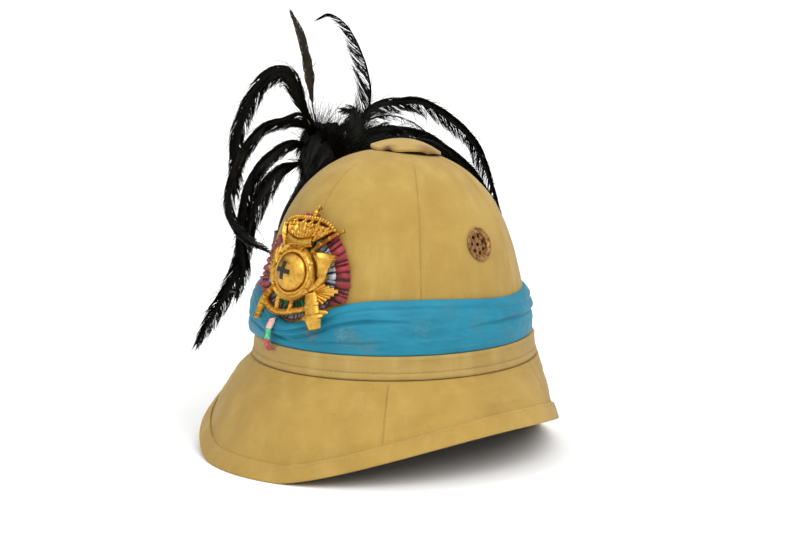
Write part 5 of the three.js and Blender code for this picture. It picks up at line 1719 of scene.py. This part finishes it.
def make_light():
    world = bpy.data.worlds.new("studio")
    world.use_nodes = True
    tree = world.node_tree
    sky = tree.nodes["Background"]
    spot = tree.nodes.new("ShaderNodeTexCoord")
    split = tree.nodes.new("ShaderNodeSeparateXYZ")
    ramp = tree.nodes.new("ShaderNodeMapRange")
    ramp.interpolation_type = "SMOOTHSTEP"
    tree.links.new(spot.outputs["Generated"], split.inputs[0])
    tree.links.new(split.outputs["Z"], ramp.inputs["Value"])
    for socket, value in (("From Min", 0.0), ("From Max", 0.9), ("To Min", 0.35), ("To Max", 1.15)):
        ramp.inputs[socket].default_value = value
    tree.links.new(ramp.outputs["Result"], sky.inputs["Strength"])
    sky.inputs["Color"].default_value = (1, 1, 1, 1)
    bpy.context.scene.world = world
    for name, azimuth, elevation, strength, width in LIGHTS:
        data = bpy.data.lights.new(name, "SUN")
        data.energy = strength
        data.angle = math.radians(width)
        lamp = bpy.data.objects.new(name, data)
        lamp.rotation_euler = direction(azimuth, elevation).to_track_quat("Z", "Y").to_euler()
        bpy.context.scene.collection.objects.link(lamp)
    bpy.context.scene.view_settings.view_transform = "Standard"


def shared(point):
    return tuple((np.asarray(point, dtype=float) + HAT) * MM)


def main():
    make_camera()
    make_floor()
    make_light()
    # Painted shadow on the crown's cloth under the cap's rim
    cap_shadow_ring = (shared(cap_frame()[0]), 0.0255, 0.0275)
    khaki = cotton("crown_cotton", KHAKI, KHAKI_PALE, KHAKI_DEEP, painted_cap_shadow=cap_shadow_ring)
    brim_cotton = cotton("brim_cotton", srgb(174, 143, 72), srgb(188, 158, 90), srgb(150, 118, 53),
                         dirt=0.35)
    band = cotton("band_twill", srgb(174, 146, 82), srgb(188, 162, 102), srgb(152, 124, 66), twill=True)
    rear_stain = shared(cap_frame()[0] + np.array([26.0, -2.0, -2.0]))
    # A darker spot on the cap's cloth round the notch in its rim
    notch_dark_spot = shared(cap_frame()[0] + np.array([6.0, -25.0, 0.0]))
    cap_cotton = cotton("cap_cotton", srgb(182, 154, 90), srgb(192, 167, 106), srgb(160, 128, 66),
                        spots=[(rear_stain, 0.009, STAIN, 0.75), (notch_dark_spot, 0.006, STAIN, 0.8)])
    lining = dark_cloth()
    sewing = thread("khaki_thread", srgb(188, 162, 100), srgb(150, 120, 64))
    make_crown(khaki.material, lining.material)
    make_brim(brim_cotton.material, lining.material)
    make_binding(brim_cotton.material, sewing.material)
    make_hatband(band.material, sewing.material)
    make_sash(silk_cloth().material)
    # Each ribbon: painted shade in its valleys, its own colour, and a painted highlight on its crests
    red = ribbon("red_ribbon", srgb(62, 8, 16), srgb(170, 50, 56), srgb(214, 116, 110))
    pale = ribbon("pale_ribbon", srgb(26, 26, 32), srgb(190, 194, 202), srgb(244, 244, 244))
    green = ribbon("green_ribbon", srgb(6, 60, 38), srgb(44, 172, 112), srgb(130, 222, 170))
    make_cockade_ring("cockade_red", "cockade_outer", COCKADE["pale"] + GAP,
                      COCKADE["radius"], 56, red.material, 41, 2.5, 0)
    make_cockade_ring("cockade_pale", "cockade_middle", COCKADE["green"] + GAP,
                      COCKADE["pale"], 44, pale.material, 42, 2.4, 1)
    make_cockade_ring("cockade_green", "cockade_centre", COCKADE["hole"],
                      COCKADE["green"], 40, green.material, 43, 2.0, 2)
    dark = Finish("cross_inlay", Roughness=0.6)
    dark.colour(dark.mix(dark.noise(dark.place(), 900.0), srgb(18, 14, 12), srgb(46, 34, 24)))
    make_badge(gilt_metal().material, dark.material)
    # The loop's ribbon is painted the same way, by the length across its strip
    make_loop([ribbon("loop_pink", srgb(206, 120, 124), srgb(232, 178, 170), srgb(244, 220, 200)).material,
               green.material, red.material])
    make_cap(cap_cotton.material)
    brass = aged_brass()
    make_side_vent("side_vent_left", 1, brass.material)
    make_side_vent("side_vent_right", -1, brass.material)
    make_socket(black_leather().material)
    black = feather_black("black_feather", srgb(2, 2, 2), srgb(9, 8, 7), 0.3)
    brown = feather_black("brown_feather", srgb(30, 25, 19), srgb(52, 44, 34), 0.6)
    make_plume(black.material, brown.material)
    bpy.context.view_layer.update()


main()
